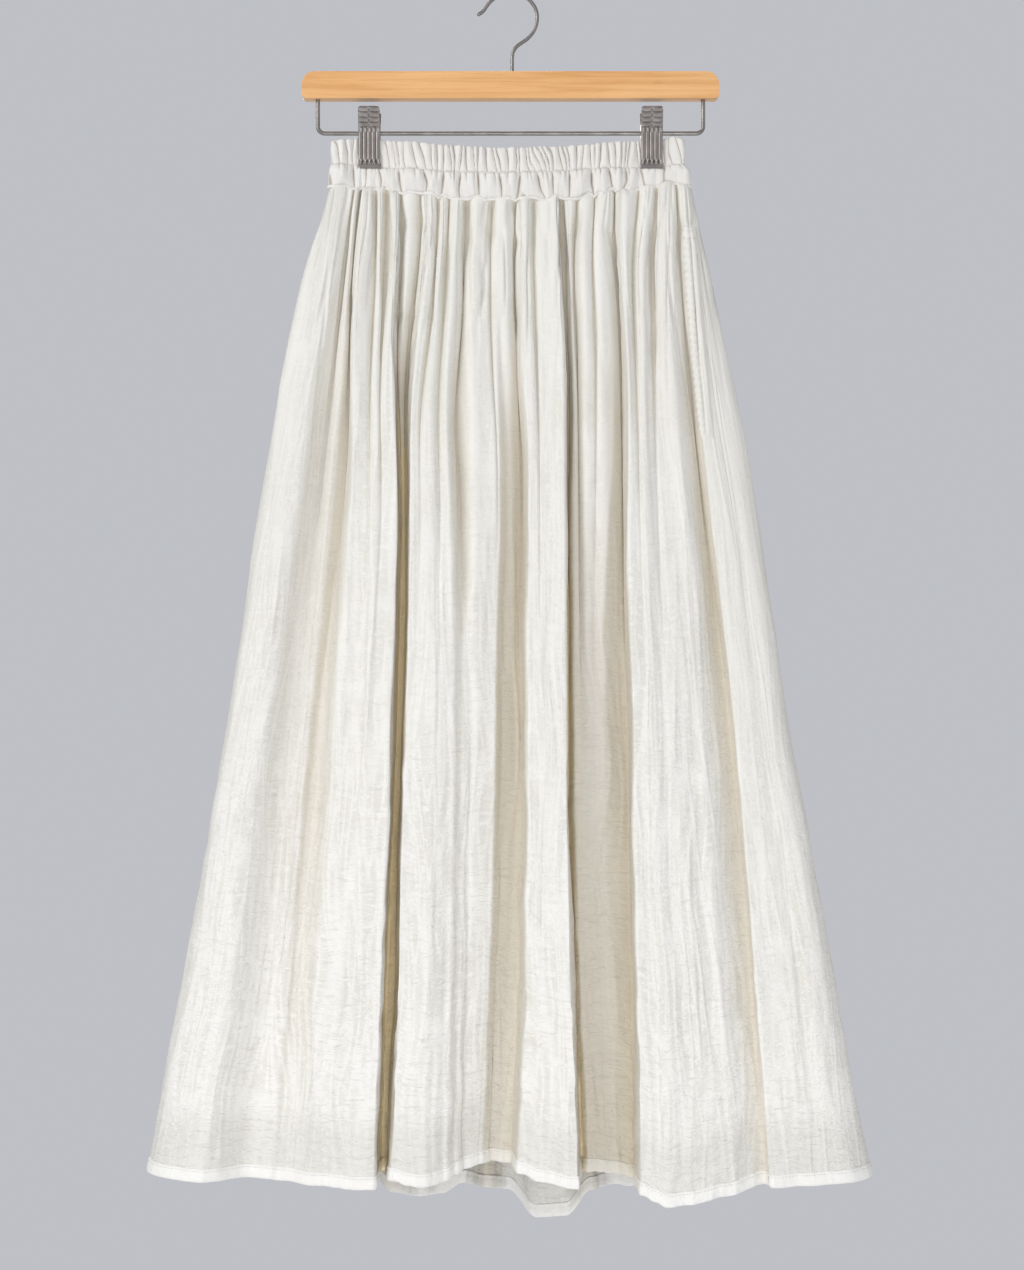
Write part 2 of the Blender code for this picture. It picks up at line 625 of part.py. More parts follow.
def rounded_bar():
    """The wooden bar: an outline with round corners, extruded front to back, its edges softened."""
    half = BAR_LENGTH / 2
    low = BAR_TOP - BAR_HEIGHT
    corners = (
        (half, BAR_TOP, BAR_TOP_CORNER, 0),
        (-half, BAR_TOP, BAR_TOP_CORNER, 90),
        (-half, low, BAR_LOW_CORNER, 180),
        (half, low, BAR_LOW_CORNER, 270),
    )
    outline = []
    for x, z, radius, start in corners:
        cx = x - math.copysign(radius, x)
        cz = z - radius if start < 180 else z + radius
        for i in range(CORNER_STEPS + 1):
            angle = math.radians(start + 90 * i / CORNER_STEPS)
            outline.append((cx + radius * math.cos(angle), cz + radius * math.sin(angle)))
    front = [(x, -BAR_DEPTH / 2, z) for x, z in outline]
    rear = [(x, BAR_DEPTH / 2, z) for x, z in outline]
    count = len(outline)
    faces = [tuple(range(count - 1, -1, -1)), tuple(range(count, 2 * count))]
    for i in range(count):
        j = (i + 1) % count
        faces.append((i, j, count + j, count + i))
    bar = new_object("hanger_bar", front + rear, faces, WOOD)
    face_outwards(bar)
    edge = bar.modifiers.new("soft edge", "BEVEL")
    edge.width = BAR_EDGE * MM
    edge.segments = 2
    edge.limit_method = "ANGLE"
    edge.angle_limit = math.radians(60)
    return bar


def cylinder_cutter(name, radius, length, place, turn):
    """A hidden cylinder that a Boolean takes away."""
    bpy.ops.mesh.primitive_cylinder_add(vertices=20, radius=radius * MM, depth=length * MM)
    cutter = bpy.context.object
    cutter.name = name
    cutter.location = [v * MM for v in place]
    cutter.rotation_euler = turn
    cutter.hide_render = True
    cutter.display_type = "WIRE"
    return cutter


def cut(piece, cutter):
    change = piece.modifiers.new(cutter.name, "BOOLEAN")
    change.operation = "DIFFERENCE"
    change.object = cutter


def wire_object(name, points, wire):
    """A round wire along a list of points."""
    curve = bpy.data.curves.new(name, "CURVE")
    curve.dimensions = "3D"
    curve.bevel_depth = wire / 2 * MM
    curve.bevel_resolution = 2
    curve.use_fill_caps = True
    spline = curve.splines.new("POLY")
    spline.points.add(len(points) - 1)
    for target, point in zip(spline.points, points):
        target.co = (*(v * MM for v in point), 1)
    piece = bpy.data.objects.new(name, curve)
    bpy.context.scene.collection.objects.link(piece)
    finish(piece, STEEL)
    return piece


def smooth_path(anchors, per_span):
    """Points on a Catmull-Rom curve through the anchors."""
    anchors = [np.array(a, float) for a in anchors]
    padded = [2 * anchors[0] - anchors[1], *anchors, 2 * anchors[-1] - anchors[-2]]
    points = []
    for a, b, c, d in zip(padded, padded[1:], padded[2:], padded[3:]):
        for i in range(per_span):
            t = i / per_span
            points.append(
                0.5 * (2 * b + (c - a) * t + (2 * a - 5 * b + 4 * c - d) * t**2
                       + (3 * b - a - 3 * c + d) * t**3)
            )
    points.append(anchors[-1])
    return [tuple(p) for p in points]


HOOK_TIP_TO_STEM = (
    (-27.2, 0, -16.6),
    (-23.2, 0, -13.6),
    (-19.8, 0, -8.8),
    (-15.4, 0, -4.0),
    (-8.5, 0, 0.2),
    (0.8, 0, 1.6),
    (9.6, 0, -0.1),
    (16.4, 0, -4.6),
    (21.2, 0, -11.4),
    (22.8, 0, -19.8),
    (20.7, 0, -29.1),
    (15.5, 0, -36.3),
    (10.3, 0, -40.2),
    (5.1, 0, -44.1),
    (2.1, 0, -48.9),
    (1.4, 0, -54.5),
    (1.4, 0, -61.0),
)


def make_hanger():
    """Bar, swivel hook and the wire rail that the clips ride on."""
    bar = rounded_bar()
    stem_end = BAR_TOP - WIRE_SEAT
    stem = HOOK_TIP_TO_STEM[-1][0]
    hook = smooth_path(HOOK_TIP_TO_STEM + ((stem, 0, stem_end),), 3)
    wire_object("hook", hook, HOOK_WIRE)
    low = BAR_TOP - BAR_HEIGHT
    rail = [(-RAIL_HALF, 0, low + WIRE_SEAT)]
    for side in (-1, 1):
        turns = range(CORNER_STEPS + 1) if side < 0 else range(CORNER_STEPS, -1, -1)
        for i in turns:
            angle = math.pi / 2 * i / CORNER_STEPS
            x = side * (RAIL_HALF - RAIL_CORNER + RAIL_CORNER * math.cos(angle))
            rail.append((x, 0, RAIL_Z + RAIL_CORNER - RAIL_CORNER * math.sin(angle)))
    rail.append((RAIL_HALF, 0, low + WIRE_SEAT))
    wire_object("hanger_rail", rail, RAIL_WIRE)
    upright = (0, 0, 0)
    hole = HOOK_WIRE / 2 + GAP
    cut(bar, cylinder_cutter("hook_hole", hole, 2 * WIRE_SEAT + 2 * GAP, (stem, 0, BAR_TOP), upright))
    for side in (-1, 1):
        place = (side * RAIL_HALF, 0, low)
        hole = RAIL_WIRE / 2 + GAP
        cut(bar, cylinder_cutter(f"rail_hole_{side}", hole, 2 * WIRE_SEAT + 2 * GAP, place, upright))


# Side profile of a jaw's inner face, from its lip to its finger tab: height and distance from the middle
JAW_PROFILE = (
    (CLIP_FOOT_Z, GRIP + 0.6),
    (CLIP_FOOT_Z + 1.4, GRIP),
    (CLIP_FOOT_Z + 5.0, GRIP),
    (CLIP_FOOT_Z + 7.5, GRIP + 1.3),
    (RAIL_Z, GRIP + 1.9),
    (CLIP_TOP_Z - 15.0, GRIP + 3.4),
    (CLIP_TOP_Z, GRIP + 9.0),
)
RIB_COUNT = 4
RIB_HEIGHT = 0.6


def jaw_columns():
    """x across a jaw and how proud each line of its ribbed face stands."""
    half = CLIP_WIDTH / 2
    pitch = CLIP_WIDTH / (RIB_COUNT + 1)
    columns = [(-half, 0.0)]
    for i in range(RIB_COUNT + 1):
        middle = -half + pitch * (i + 0.5)
        columns += [(middle - pitch * 0.3, RIB_HEIGHT), (middle + pitch * 0.3, RIB_HEIGHT)]
        if i < RIB_COUNT:
            columns.append((middle + pitch * 0.5, 0.0))
    columns.append((half, 0.0))
    return columns


def make_jaw(name, middle, side):
    """One stamped jaw: a ribbed plate with two side flanges, leaning out towards its finger tab."""
    columns = jaw_columns()
    rows = len(JAW_PROFILE)
    outer, inner = [], []
    for r, (z, away) in enumerate(JAW_PROFILE):
        widen = LIP_WIDTH / CLIP_WIDTH if r < 3 else 1.0
        ribbed = 3 <= r < rows - 1
        for x, proud in columns:
            extra = proud if ribbed else RIB_HEIGHT
            outer.append((middle + x * widen, side * (away + JAW_WALL + extra), z))
            inner.append((middle + x * widen, side * away, z))
    count, across = len(outer), len(columns)
    faces = []
    for r in range(rows - 1):
        for c in range(across - 1):
            a = r * across + c
            faces.append((a, a + 1, a + across + 1, a + across))
            faces.append((count + a, count + a + across, count + a + across + 1, count + a + 1))
    for c in range(across - 1):
        top = (rows - 1) * across + c
        faces.append((c, count + c, count + c + 1, c + 1))
        faces.append((top, top + 1, count + top + 1, count + top))
    for r in range(rows - 1):
        a, b = r * across, r * across + across - 1
        faces.append((a, a + across, count + a + across, count + a))
        faces.append((b, count + b, count + b + across, b + across))
    jaw = new_object(name, outer + inner, faces, STEEL)
    face_outwards(jaw)
    for flank in (-1, 1):
        flange = make_flange(f"{name}_flange_{flank}", middle, side, flank)
        join = jaw.modifiers.new("flange", "BOOLEAN")
        join.operation = "UNION"
        join.object = flange


def make_flange(name, middle, side, flank):
    """The side wall of a jaw round the rail, just short of the other jaw's, with a notch for the rail."""
    x_out = middle + flank * (CLIP_WIDTH / 2 - FLANGE_INSET)
    x_in = x_out - flank * FLANGE_WALL
    top, foot = RAIL_Z + FLANGE_ABOVE, RAIL_Z - FLANGE_BELOW
    notch = RAIL_WIRE / 2 + GAP
    away_top, away_foot = GRIP + 2.9, GRIP + 2.2  # inside the plate's wall
    outline = [(away_foot, foot), (GAP / 2, foot)]
    for i in range(NOTCH_STEPS + 1):
        angle = -math.pi / 2 + math.pi * i / NOTCH_STEPS
        outline.append((max(GAP / 2, notch * math.cos(angle)), RAIL_Z + notch * math.sin(angle)))
    outline += [(GAP / 2, top), (away_top, top)]
    count = len(outline)
    near = [(x_out, side * a, z) for a, z in outline]
    far = [(x_in, side * a, z) for a, z in outline]
    faces = [tuple(range(count)), tuple(range(2 * count - 1, count - 1, -1))]
    for i in range(count):
        j = (i + 1) % count
        faces.append((i, count + i, count + j, j))
    flange = new_object(name, near + far, faces, STEEL)
    face_outwards(flange)
    flange.hide_render = True
    flange.display_type = "WIRE"
    return flange


def make_spring(name, middle):
    """The barrel of a clip's spring, a sleeve round the rail between the jaws."""
    outer, inner, sides = SPRING_RADIUS, RAIL_WIRE / 2 + GAP, SPRING_SIDES
    vertices, faces = [], []
    for x in (middle - SPRING_LENGTH / 2, middle + SPRING_LENGTH / 2):
        for radius in (outer, inner):
            for i in range(sides):
                angle = 2 * math.pi * i / sides
                vertices.append((x, radius * math.cos(angle), RAIL_Z + radius * math.sin(angle)))
    for i in range(sides):
        j = (i + 1) % sides
        a, b, c, d = (k * sides for k in range(4))
        faces += [
            (a + i, a + j, c + j, c + i),
            (b + i, d + i, d + j, b + j),
            (a + i, b + i, b + j, a + j),
            (c + i, c + j, d + j, d + i),
        ]
    spring = new_object(name, vertices, faces, STEEL)
    face_outwards(spring)


def make_clips():
    """Two spring clips, each a front and a back jaw round the rail."""
    for label, middle in zip(("left", "right"), CLIP_X):
        make_jaw(f"clip_{label}_front_jaw", middle, -1)
        make_jaw(f"clip_{label}_back_jaw", middle, 1)
        make_spring(f"clip_{label}_spring", middle)


def main():
    for piece in list(bpy.data.objects):
        bpy.data.objects.remove(piece, do_unlink=True)
    make_skirt()
    make_band("waistband_front", -1, FRONT_GATHERS, 5)
    make_band("waistband_back", 1, BACK_GATHERS, 9)
    make_hanger()
    make_clips()


main()
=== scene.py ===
"""The looks of a gathered maxi skirt of cotton double gauze, clipped to a wooden skirt hanger.

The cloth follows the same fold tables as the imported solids, with finer lines, crinkles, gathers and
sewing. The row frame has its origin inside the top of the hanger's hook, +Z is up and the front faces
-Y. Tables and shapes are in millimetres, the scene in metres.
"""

import math
import random
from collections import namedtuple

import bpy
import numpy as np
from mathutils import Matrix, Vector


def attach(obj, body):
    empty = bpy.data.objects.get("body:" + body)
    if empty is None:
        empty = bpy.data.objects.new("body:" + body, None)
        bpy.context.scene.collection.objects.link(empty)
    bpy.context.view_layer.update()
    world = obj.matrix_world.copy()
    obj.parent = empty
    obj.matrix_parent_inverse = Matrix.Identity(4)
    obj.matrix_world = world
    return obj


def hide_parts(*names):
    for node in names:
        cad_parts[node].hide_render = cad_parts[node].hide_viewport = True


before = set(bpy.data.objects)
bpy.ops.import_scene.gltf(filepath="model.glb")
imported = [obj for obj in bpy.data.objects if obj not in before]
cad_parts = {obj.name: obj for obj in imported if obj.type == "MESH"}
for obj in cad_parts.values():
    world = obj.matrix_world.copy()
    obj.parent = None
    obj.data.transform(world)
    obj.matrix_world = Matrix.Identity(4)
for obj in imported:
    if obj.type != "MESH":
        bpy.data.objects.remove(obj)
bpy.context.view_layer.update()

MM = 0.001
BODY = "root"

# Skirt, as in the part's source
PANEL_DROP = 831.0
HEM_DEPTH = 11.0
LEVEL_SHARE = np.array((0.0, 0.105, 0.257, 0.563, 1.0))
LEVELS = len(LEVEL_SHARE)
PUFF = (1.0, 0.7, 0.25, 0.0, 0.0)  # 1 at a level where folds have soft sides, 0 where steep ones
PUFF_POWER = 2.2
BILLOW_START = 0.3  # share of their depth at which the gathers leave the waist seam
BILLOW_END = 0.013  # share of the drop at which they have it all
TOP_END_ROUND = 9.0
LEFT_SIDE = (-153.5, -179.5, -203.5, -243.5, -310.0)
RIGHT_SIDE = (153.0, 173.5, 199.5, 239.0, 305.0)
LEFT_SIDE_HEM = -1000.5
RIGHT_SIDE_HEM = -1006.5

# One fold of the front. crest and valley are x at each level, the valley being on the fold's right.
# proud and sunk are how far each stands in front of the skirt's middle plane at each level.
# hem is the height of the hem at the crest and at the valley. left and right say how steep its sides are.
Fold = namedtuple("Fold", "name crest valley proud sunk hem left right")
FRONT_FOLDS = (
    Fold("a", (-148, -161, -180, -214, -258), (-133, -143, -157, -184, -222),
         (8, 15, 22, 32, 42), (3, 4, 6, 14, 25), (-1003, -1003), 1.5, 1.8),
    Fold("b", (-130, -138, -148, -173, -203), (-127, -134, -138.5, -166, -196),
         (8, 9, 9, 13, 30), (2, 3, 3, 8, 28), (-1003, -1004.5), 1.5, 1.5),
    Fold("c", (-121, -126, -129, -140, -158), (-115, -113, -117, -127, -144),
         (10, 20, 27, 33, 42), (4, 14, 25, 34, 43), (-1006, -1007), 2.2, 1.5),
    Fold("d", (-110, -108, -111, -121, -134), (-106, -105, -107, -116, -129),
         (9, 17, 28, 38, 46), (3, 11, 27, 38, 47), (-1008, -1008.5), 1.5, 1.5),
    Fold("e", (-99, -97, -95, -103, -116), (-93.5, -92.5, -91.5, -97.5, -110.5),
         (10, 18, 28, 38, 47), (2, 3, -1, -2, 0), (-1008, -1003), 1.5, 3.5),
    Fold("f", (-87, -87, -90, -96, -108.5), (-77, -79.5, -85.5, -93, -105),
         (8, 11, 0, -1, 1), (2, 4, 0, 0, 1), (-1002, -1001), 1.5, 1.5),
    Fold("g", (-67, -69.5, -79.5, -87, -98), (-62, -63, -73, -77, -86),
         (10, 18, 26, 36, 41), (3, 14, 25, 36, 43), (-1002, -1005.5), 3.2, 1.5),
    Fold("h", (-56, -58, -64, -67, -73), (-52, -53, -58, -60, -65),
         (9, 18, 27, 37, 43), (3, 14, 25, 36, 40), (-1006.5, -1006), 1.5, 1.5),
    Fold("i", (-45, -47, -52, -50, -56), (-38, -37, -44, -40, -47),
         (10, 19, 26, 34, 34), (2, 5, 11, 28, 27), (-1004, -1000), 1.5, 2.0),
    Fold("j", (-27, -28, -28, -31, -38), (-16, -16, -12, -14, -26),
         (10, 18, 24, 26, 20), (3, 12, 21, 20, 13), (-996.5, -994), 2.0, 1.5),
    Fold("k", (-6, -6, -5, -7, -19), (4, 4, 7, 8, -2),
         (10, 14, 11, 8, 4), (2, 3, 2, 2, 2), (-993, -995.5), 1.5, 2.0),
    Fold("l", (12, 12.5, 14.5, 18, 10), (20, 21, 23, 26, 24),
         (9, 18, 27, 36, 30), (3, 14, 27, 38, 38), (-999, -1004), 3.2, 1.5),
    Fold("m", (38, 42, 43.5, 45, 56), (43, 46.5, 49.5, 49.5, 61.5),
         (11, 20, 29, 40, 46), (2, 3, -1, -2, 2), (-1008.5, -1002), 1.5, 3.5),
    Fold("n", (50.5, 51.5, 54, 55, 66.5), (56.5, 55, 57, 60, 72),
         (9, 10, 13, 13, 10), (2, 5, 12, 12, 8), (-1001.5, -1001.5), 1.5, 1.5),
    Fold("o", (63, 63, 63, 67, 78), (72, 70, 70, 72, 83),
         (10, 17, 18, 13, 9), (3, 13, 16, 12, 8), (-1002, -1003), 1.8, 1.5),
    Fold("p", (80, 76, 75, 78, 89), (88.5, 91, 94, 99, 104),
         (10, 16, 17, 12, 8), (2, 3, 3, 1, 3), (-1003.5, -1008), 1.5, 1.3),
    Fold("q", (98, 98, 99.5, 105, 110.5), (109, 105, 108, 115, 121),
         (10, 19, 27, 37, 44), (3, 13, 25, 37, 45), (-1014, -1019), 3.5, 1.5),
    Fold("r", (117, 113, 114, 120, 131), (124, 122, 124, 132, 147),
         (10, 18, 27, 38, 47), (3, 10, 21, 34, 44), (-1023, -1021.5), 1.5, 1.5),
    Fold("s", (133, 134, 142, 158, 180), (141, 146, 157.5, 186, 213),
         (10, 16, 22, 28, 38), (3, 5, 6, 11, 24), (-1016, -1009), 1.5, 1.5),
)
# The back panel's edge wraps round to the front at the right, past the side seam
WRAP_FOLDS = (
    Fold("t", (147.5, 153, 163.5, 192, 222), (150.5, 160, 175, 209, 248),
         (9, 14, 20, 27, 34), (8, 12, 18, 26, 32), (-1010, -1009), 3.0, 1.5),
    Fold("u", (152, 165, 184, 222, 275), (153, 173.5, 199.5, 239, 305),
         (6, 11, 16, 23, 27), (0, 0, 0, 0, 0), (-1008, -1006.5), 1.5, 1.5),
)

# One fold of the back. waist and hem are places across the back, 0 at its right side and 1 at its left.
# A pair of gathers runs together into each big fold, so every other valley stays deep.
BackFold = namedtuple("BackFold", "name waist hem deep ends")
BACK_FOLDS = (
    BackFold("a", 0.045, 0.050, False, (-1005, -1006)),
    BackFold("b", 0.105, 0.112, True, (-1008, -1011)),
    BackFold("c", 0.185, 0.165, False, (-1012, -1013)),
    BackFold("d", 0.240, 0.243, True, (-1014, -1018)),
    BackFold("e", 0.325, 0.305, False, (-1026, -1028)),
    BackFold("f", 0.380, 0.347, True, (-1027, -1026)),
    BackFold("g", 0.465, 0.418, False, (-1053, -1054)),
    BackFold("h", 0.520, 0.499, True, (-1031, -1024)),
    BackFold("i", 0.605, 0.562, False, (-1026, -1034)),
    BackFold("j", 0.660, 0.625, True, (-1039, -1028)),
    BackFold("k", 0.745, 0.700, False, (-1014, -1010)),
    BackFold("l", 0.812, 0.774, True, (-1010, -1008)),
    BackFold("m", 0.885, 0.842, False, (-1004, -1002)),
    BackFold("n", 0.945, 0.930, True, (-1000, -998)),
)
BACK_PROUD = (9, 15, 25, 41, 53)
BACK_SHALLOW = (6, 11, 22, 39, 50)
BACK_DEEP = (5, 8, 14, 22, 28)
BACK_UNEVEN = 0.2
BACK_SEED = 11
BACK_STEEP = 1.6

# Waistband, as in the part's source: heights of its upper edge, stitched line and gathering seam
BandStation = namedtuple("BandStation", "x top stitch seam")
BAND_STATIONS = (
    BandStation(-153, -125.5, -144.7, -162.5),
    BandStation(-133, -123.5, -144.7, -162.5),
    BandStation(-112, -124.3, -147.3, -165.9),
    BandStation(-94, -126.0, -148.1, -167.6),
    BandStation(-52, -130.1, -151.5, -171.9),
    BandStation(-10, -132.2, -152.0, -173.2),
    BandStation(42, -131.1, -150.9, -174.2),
    BandStation(68, -129.2, -149.0, -170.2),
    BandStation(93, -126.5, -147.8, -167.0),
    BandStation(121, -124.0, -146.0, -162.5),
    BandStation(131, -123.8, -145.3, -162.0),
    BandStation(139, -121.3, -144.7, -161.7),
    BandStation(148, -125.0, -144.7, -162.5),
)
BAND_LEFT = -151.5
BAND_RIGHT = 147.5
BAND_END_ROUND = 6.0
BAND_OPEN = 5.5
BAND_PINCHED = 0.3
PINCH_FADE = 26.0
BAND_WALL = 1.5
CLIP_X = (-120.2, 120.3)
CLIP_WIDTH = 18.4

# Fineness of the cloth's mesh
FRONT_PITCH = 1.42  # between columns, where a fold's side is longest
BACK_PITCH = 1.75
TOP_ROWS = 16
TOP_ROWS_SHARE = 0.045
TOP_ROW_POWER = 1.5  # over 1, rows lie closer together towards the waist seam
LOWER_ROWS = 138
ROW_POWER = 0.82  # under 1, rows lie closer together lower down
ROUND_STEPS = 12  # over a side's round, a multiple of 3
SEAM_STEPS = 8  # of the wall that the right side seam runs on, an even number

# Crinkles of the gauze: height, spacing across and length down, in the flat cloth
Crinkle = namedtuple("Crinkle", "height across down seed")
FLUTE = Crinkle(1.5, 15.0, 230.0, 22)
BULGE = Crinkle(1.6, 42.0, 75.0, 28)
RIDGE = Crinkle(1.7, 19.0, 210.0, 23)
FINE_RIDGE = Crinkle(0.8, 9.0, 110.0, 26)
RIDGE_PATCH = Crinkle(0.6, 33.0, 85.0, 10)  # where ridges stand out more, its seed added to theirs
RIDGE_SHARPNESS = 0.2
WRINKLE = Crinkle(1.0, 24.0, 17.0, 25)
WRINKLE_SLANT = 0.2
WRINKLE_TOP = 0.35  # share of the wrinkles' height near the waist
WRINKLE_GROWTH = (350.0, 750.0)  # how far down they start and end to grow
WANDER = Crinkle(7.0, 45.0, 95.0, 21)  # how far the long crinkles stray to either side
CREASE = Crinkle(2.0, 16.0, 230.0, 29)  # creases that run down from the gathered waist
CREASE_SHARPNESS = 0.13
CREASE_SHADE = 0.3
CREASE_FADE = (40.0, 320.0)  # how far down they start and end to fade
GATHER_CREASE = Crinkle(2.0, 17.0, 70.0, 31)  # short ones that fan out under the waist seam
GATHER_WANDER = Crinkle(7.0, 30.0, 40.0, 22)
GATHER_SHARPNESS = 0.22
GATHER_FADE = (50.0, 170.0)
VALLEY_CREASE_DEPTH = 3.6  # creases along the foot of each fold
VALLEY_CREASE_WIDTH = 1.1
VALLEY_FADE = (90.0, 460.0)
VALLEY_SHADE = 0.62
SWAY = Crinkle(5.5, 40.0, 150.0, 33)  # how far the gathers lean to and fro under the waist seam
SWAY_START = 65.0
SWAY_FADE = (170.0, 420.0)
SWAY_SIDES = (8.0, 33.0)  # how far from a side it starts and has its full width
# Painted shade: how much of the fold shade is left at the waist seam, and how far down it is full
TOP_SHADE = 0.6  # share of the hollows' tint that is left at the waist seam
SHADE_FULL = 330.0  # how far down it is full
SEAM_CALM = 6.0  # crinkles fade out this near a side seam
SEAM_GROOVE_DEPTH = 1.0
SEAM_GROOVE_WIDTH = 1.6
TOP_CALM = 6.0
TIGHTEST = 0.3  # least width that the cloth is taken to be drawn together to
NEAREST = 0.4  # least distance across at which one point hides another
NOISE_SIZE = 256

# Ripples along a line: height and spacing
Ripple = namedtuple("Ripple", "height across seed")
BILLOW = Ripple(0.5, 13.0, 35)  # how unevenly the gathers leave the waist seam
SEAM_ARCH = Ripple(5.2, 9.5, 37)  # the waist seam arches over the gathers
SEAM_DROP = 1.9
SEAM_ENDS = 12.0  # it lies calm this near the band's ends
SEAM_ARCH_POWER = 12  # larger where the panels follow the arches less far down

# Turned hem: height above its lower edge, and how far the wall stands out
HEM_PROFILE = (
    (11.4, 0.15),
    (11.0, 0.75),
    (10.2, 1.15),
    (8.9, 0.62),
    (7.4, 1.05),
    (5.0, 1.3),
    (2.6, 1.28),
    (1.0, 1.05),
    (0.25, 0.6),
    (0.0, 0.0),
)
STITCH_ROW = 3
HEM_PUCKER = Ripple(0.35, 2.6, 41)
PUCKER_REACH = 3.0
PUCKER_SLANT = 0.7
HEM_TUCK = 0.6  # share of the hem's depth that the panel's sheet stops above its foot

# Side pocket, opening at the fold of the back's edge: its turned and stitched edge
POCKET_COLUMN = SEAM_STEPS // 2  # of the back's columns, the crest of that fold
POCKET_TOP = 34.0
POCKET_FOOT = 217.0
POCKET_START = -5.0  # from the crest of that fold
POCKET_WIDTH = 15.0
POCKET_STEPS = 31
POCKET_PITCH = 1.0  # between the patch's rows
POCKET_LIFT = 1.5
POCKET_TUCK = 0.3  # how far its rim lies under the cloth
POCKET_NEAR_RIM = 1.2  # widths over which it rises from its rim
POCKET_FAR_RIM = 5.0
POCKET_TOP_RIM = 4.0
POCKET_FOOT_RIM = (1.0, 8.0)
POCKET_STITCH = 7.0
POCKET_GROOVE = 1.2
POCKET_GROOVE_WIDTH = 0.9
POCKET_GROOVE_START = 4.0
POCKET_GROOVE_END = (2.0, 12.0)  # above the foot
POCKET_PUCKER = 0.6
POCKET_PERIOD = 6.4
POCKET_SLANT = 0.9
POCKET_TACKS = (39.5, 46.0)
TACK_WIDTH = 1.0
TACK_ARCH = 0.035
POCKET_CREPE = 0.25

# Gathers of the waistband: the elastic channel above its stitched line and the casing below
BAND_COLUMNS = 640
BAND_CROWDING = 0.25  # larger where columns lie closer together at the ends
BAND_GATHERS = 57
BAND_SEEDS = {"front": 5, "back": 9}
PUFF_SEED = 15
GATHER_WIDTHS = (0.45, 1.6)
GATHER_HEIGHTS = (0.6, 1.2)
GATHER_SHARP = 0.75
GATHERS_PER_PUFF = 3
GROOVE_POWER = 4
BAND_ENDS = 5.0  # gathers fade out this near an end
CLIP_CALM = 0.5  # share of their height that the clips press out
LEAN = 0.16
WIDE_LEAN = Ripple(0.2, 26.0, 51)
FINE_LEAN = Ripple(0.22, 8.0, 55)
EDGE_SHARP = 0.6
EDGE_LEVEL = 0.6  # of a gather's height, where the upper edge lies
EDGE_SCALLOP = 0.9
EDGE_TURNS = (0.15, 0.4, 0.65, 0.85)
EDGE_RISE = 0.2
EDGE_ROUND = 0.8
EDGE_ROUND_POWER = 6
INSIDE_ROWS = 8
INSIDE_SWELL = 0.5
INSIDE_DROP = 0.6
BAND_ROWS = 14
# In the next four crinkles the length down is a share of the channel's or the casing's height
CHANNEL_DRIFT = Crinkle(0.9, 5.0, 1 / 1.6, 56)
CHANNEL_WRINKLE = Crinkle(0.5, 1.7, 1 / 2, 52)
CASING_DRIFT = Crinkle(2.4, 7.0, 1 / 1.8, 57)
CASING_WRINKLES = (Crinkle(0.9, 4.5, 1 / 1.5, 53), Crinkle(0.3, 2.0, 1 / 3, 54))
CHANNEL_GATHER = 4.0
CHANNEL_LEAN = 9.0
CHANNEL_SWELL = ((0.0, 0.45, 1.0), (0.85, 1.0, 0.3))  # shares of its height, and how full it is there
STITCH_DROP = 0.7
STITCH_OUT = 0.2
STITCH_SWELL = 0.15
CASING_OUT = 0.25
CASING_GATHER = 2.4
CASING_GATHER_END = 0.9
CASING_LEAN = 14.0
CASING_PUFF = 6.5
PUFF_ARC = (0.05, 0.83)  # of a half turn, what a puff's side view shows
CASING_DRAWN = 0.35
CASING_FLARE = 1.1
GROOVE_CHANGE = (0.7, 0.3)  # where the gathers' grooves have ended and the puffs' are full
LEFT_FLARE = 2.0  # how much wider the lower casing is than the channel above it
RIGHT_FLARE = 4.5
FLARE_REACH = 14.0
FLARE_END = 0.4
BEAD = 1.1
BEAD_DROP = 1.71
BEAD_OUT = 0.3
BEAD_FLARE = 0.9
BEAD_BACK_DROP = 2.6
BEAD_BACK_OUT = 0.4

# How far down the band's strip of cloth its rows lie, and how much it is gathered
EDGE_DOWN = -2.0
CHANNEL_DOWN = 21.0
STITCH_DOWN = 22.0
SEAM_DOWN = 42.0
BEAD_DOWN = 43.0
BACK_DOWN = 44.0
INSIDE_DOWN = 45.0
BAND_FULLNESS = 2.0

# Thread stitches
Stitch = namedtuple("Stitch", "pitch length radius")
HEM_STITCH = Stitch(3.1, 2.3, 0.24)
WAIST_STITCH = Stitch(2.9, 2.1, 0.24)
POCKET_EDGE_STITCH = Stitch(2.8, 2.0, 0.2)
STITCH_LIFT = 0.05
STITCH_SHOULDER = 0.28  # share of its length to either side of its middle where a stitch is thickest


def soft_noise(across, down, seed):
    """Smooth noise from -1 to 1, about one bump for each unit across and down."""
    table = np.random.default_rng(seed).uniform(-1, 1, (NOISE_SIZE, NOISE_SIZE))
    i = np.floor(across).astype(int)
    j = np.floor(down).astype(int)
    s, t = across - i, down - j
    s, t = s * s * (3 - 2 * s), t * t * (3 - 2 * t)
    i, j = i % NOISE_SIZE, j % NOISE_SIZE
    i_next, j_next = (i + 1) % NOISE_SIZE, (j + 1) % NOISE_SIZE
    upper = table[i, j] * (1 - s) + table[i_next, j] * s
    lower = table[i, j_next] * (1 - s) + table[i_next, j_next] * s
    return upper * (1 - t) + lower * t


def noise_of(crinkle, across, down):
    return soft_noise(across / crinkle.across, down / crinkle.down, crinkle.seed)


def relief_of(crinkle, across, down):
    return crinkle.height * noise_of(crinkle, across, down)


def ripple_along(ripple, across):
    return ripple.height * soft_noise(across / ripple.across, 0.0, ripple.seed)


def quarter_round(t):
    return np.sqrt(1.0 - (1.0 - np.clip(t, 0.0, 1.0)) ** 2)


def ease(t):
    t = np.clip(t, 0.0, 1.0)
    return t * t * (3 - 2 * t)


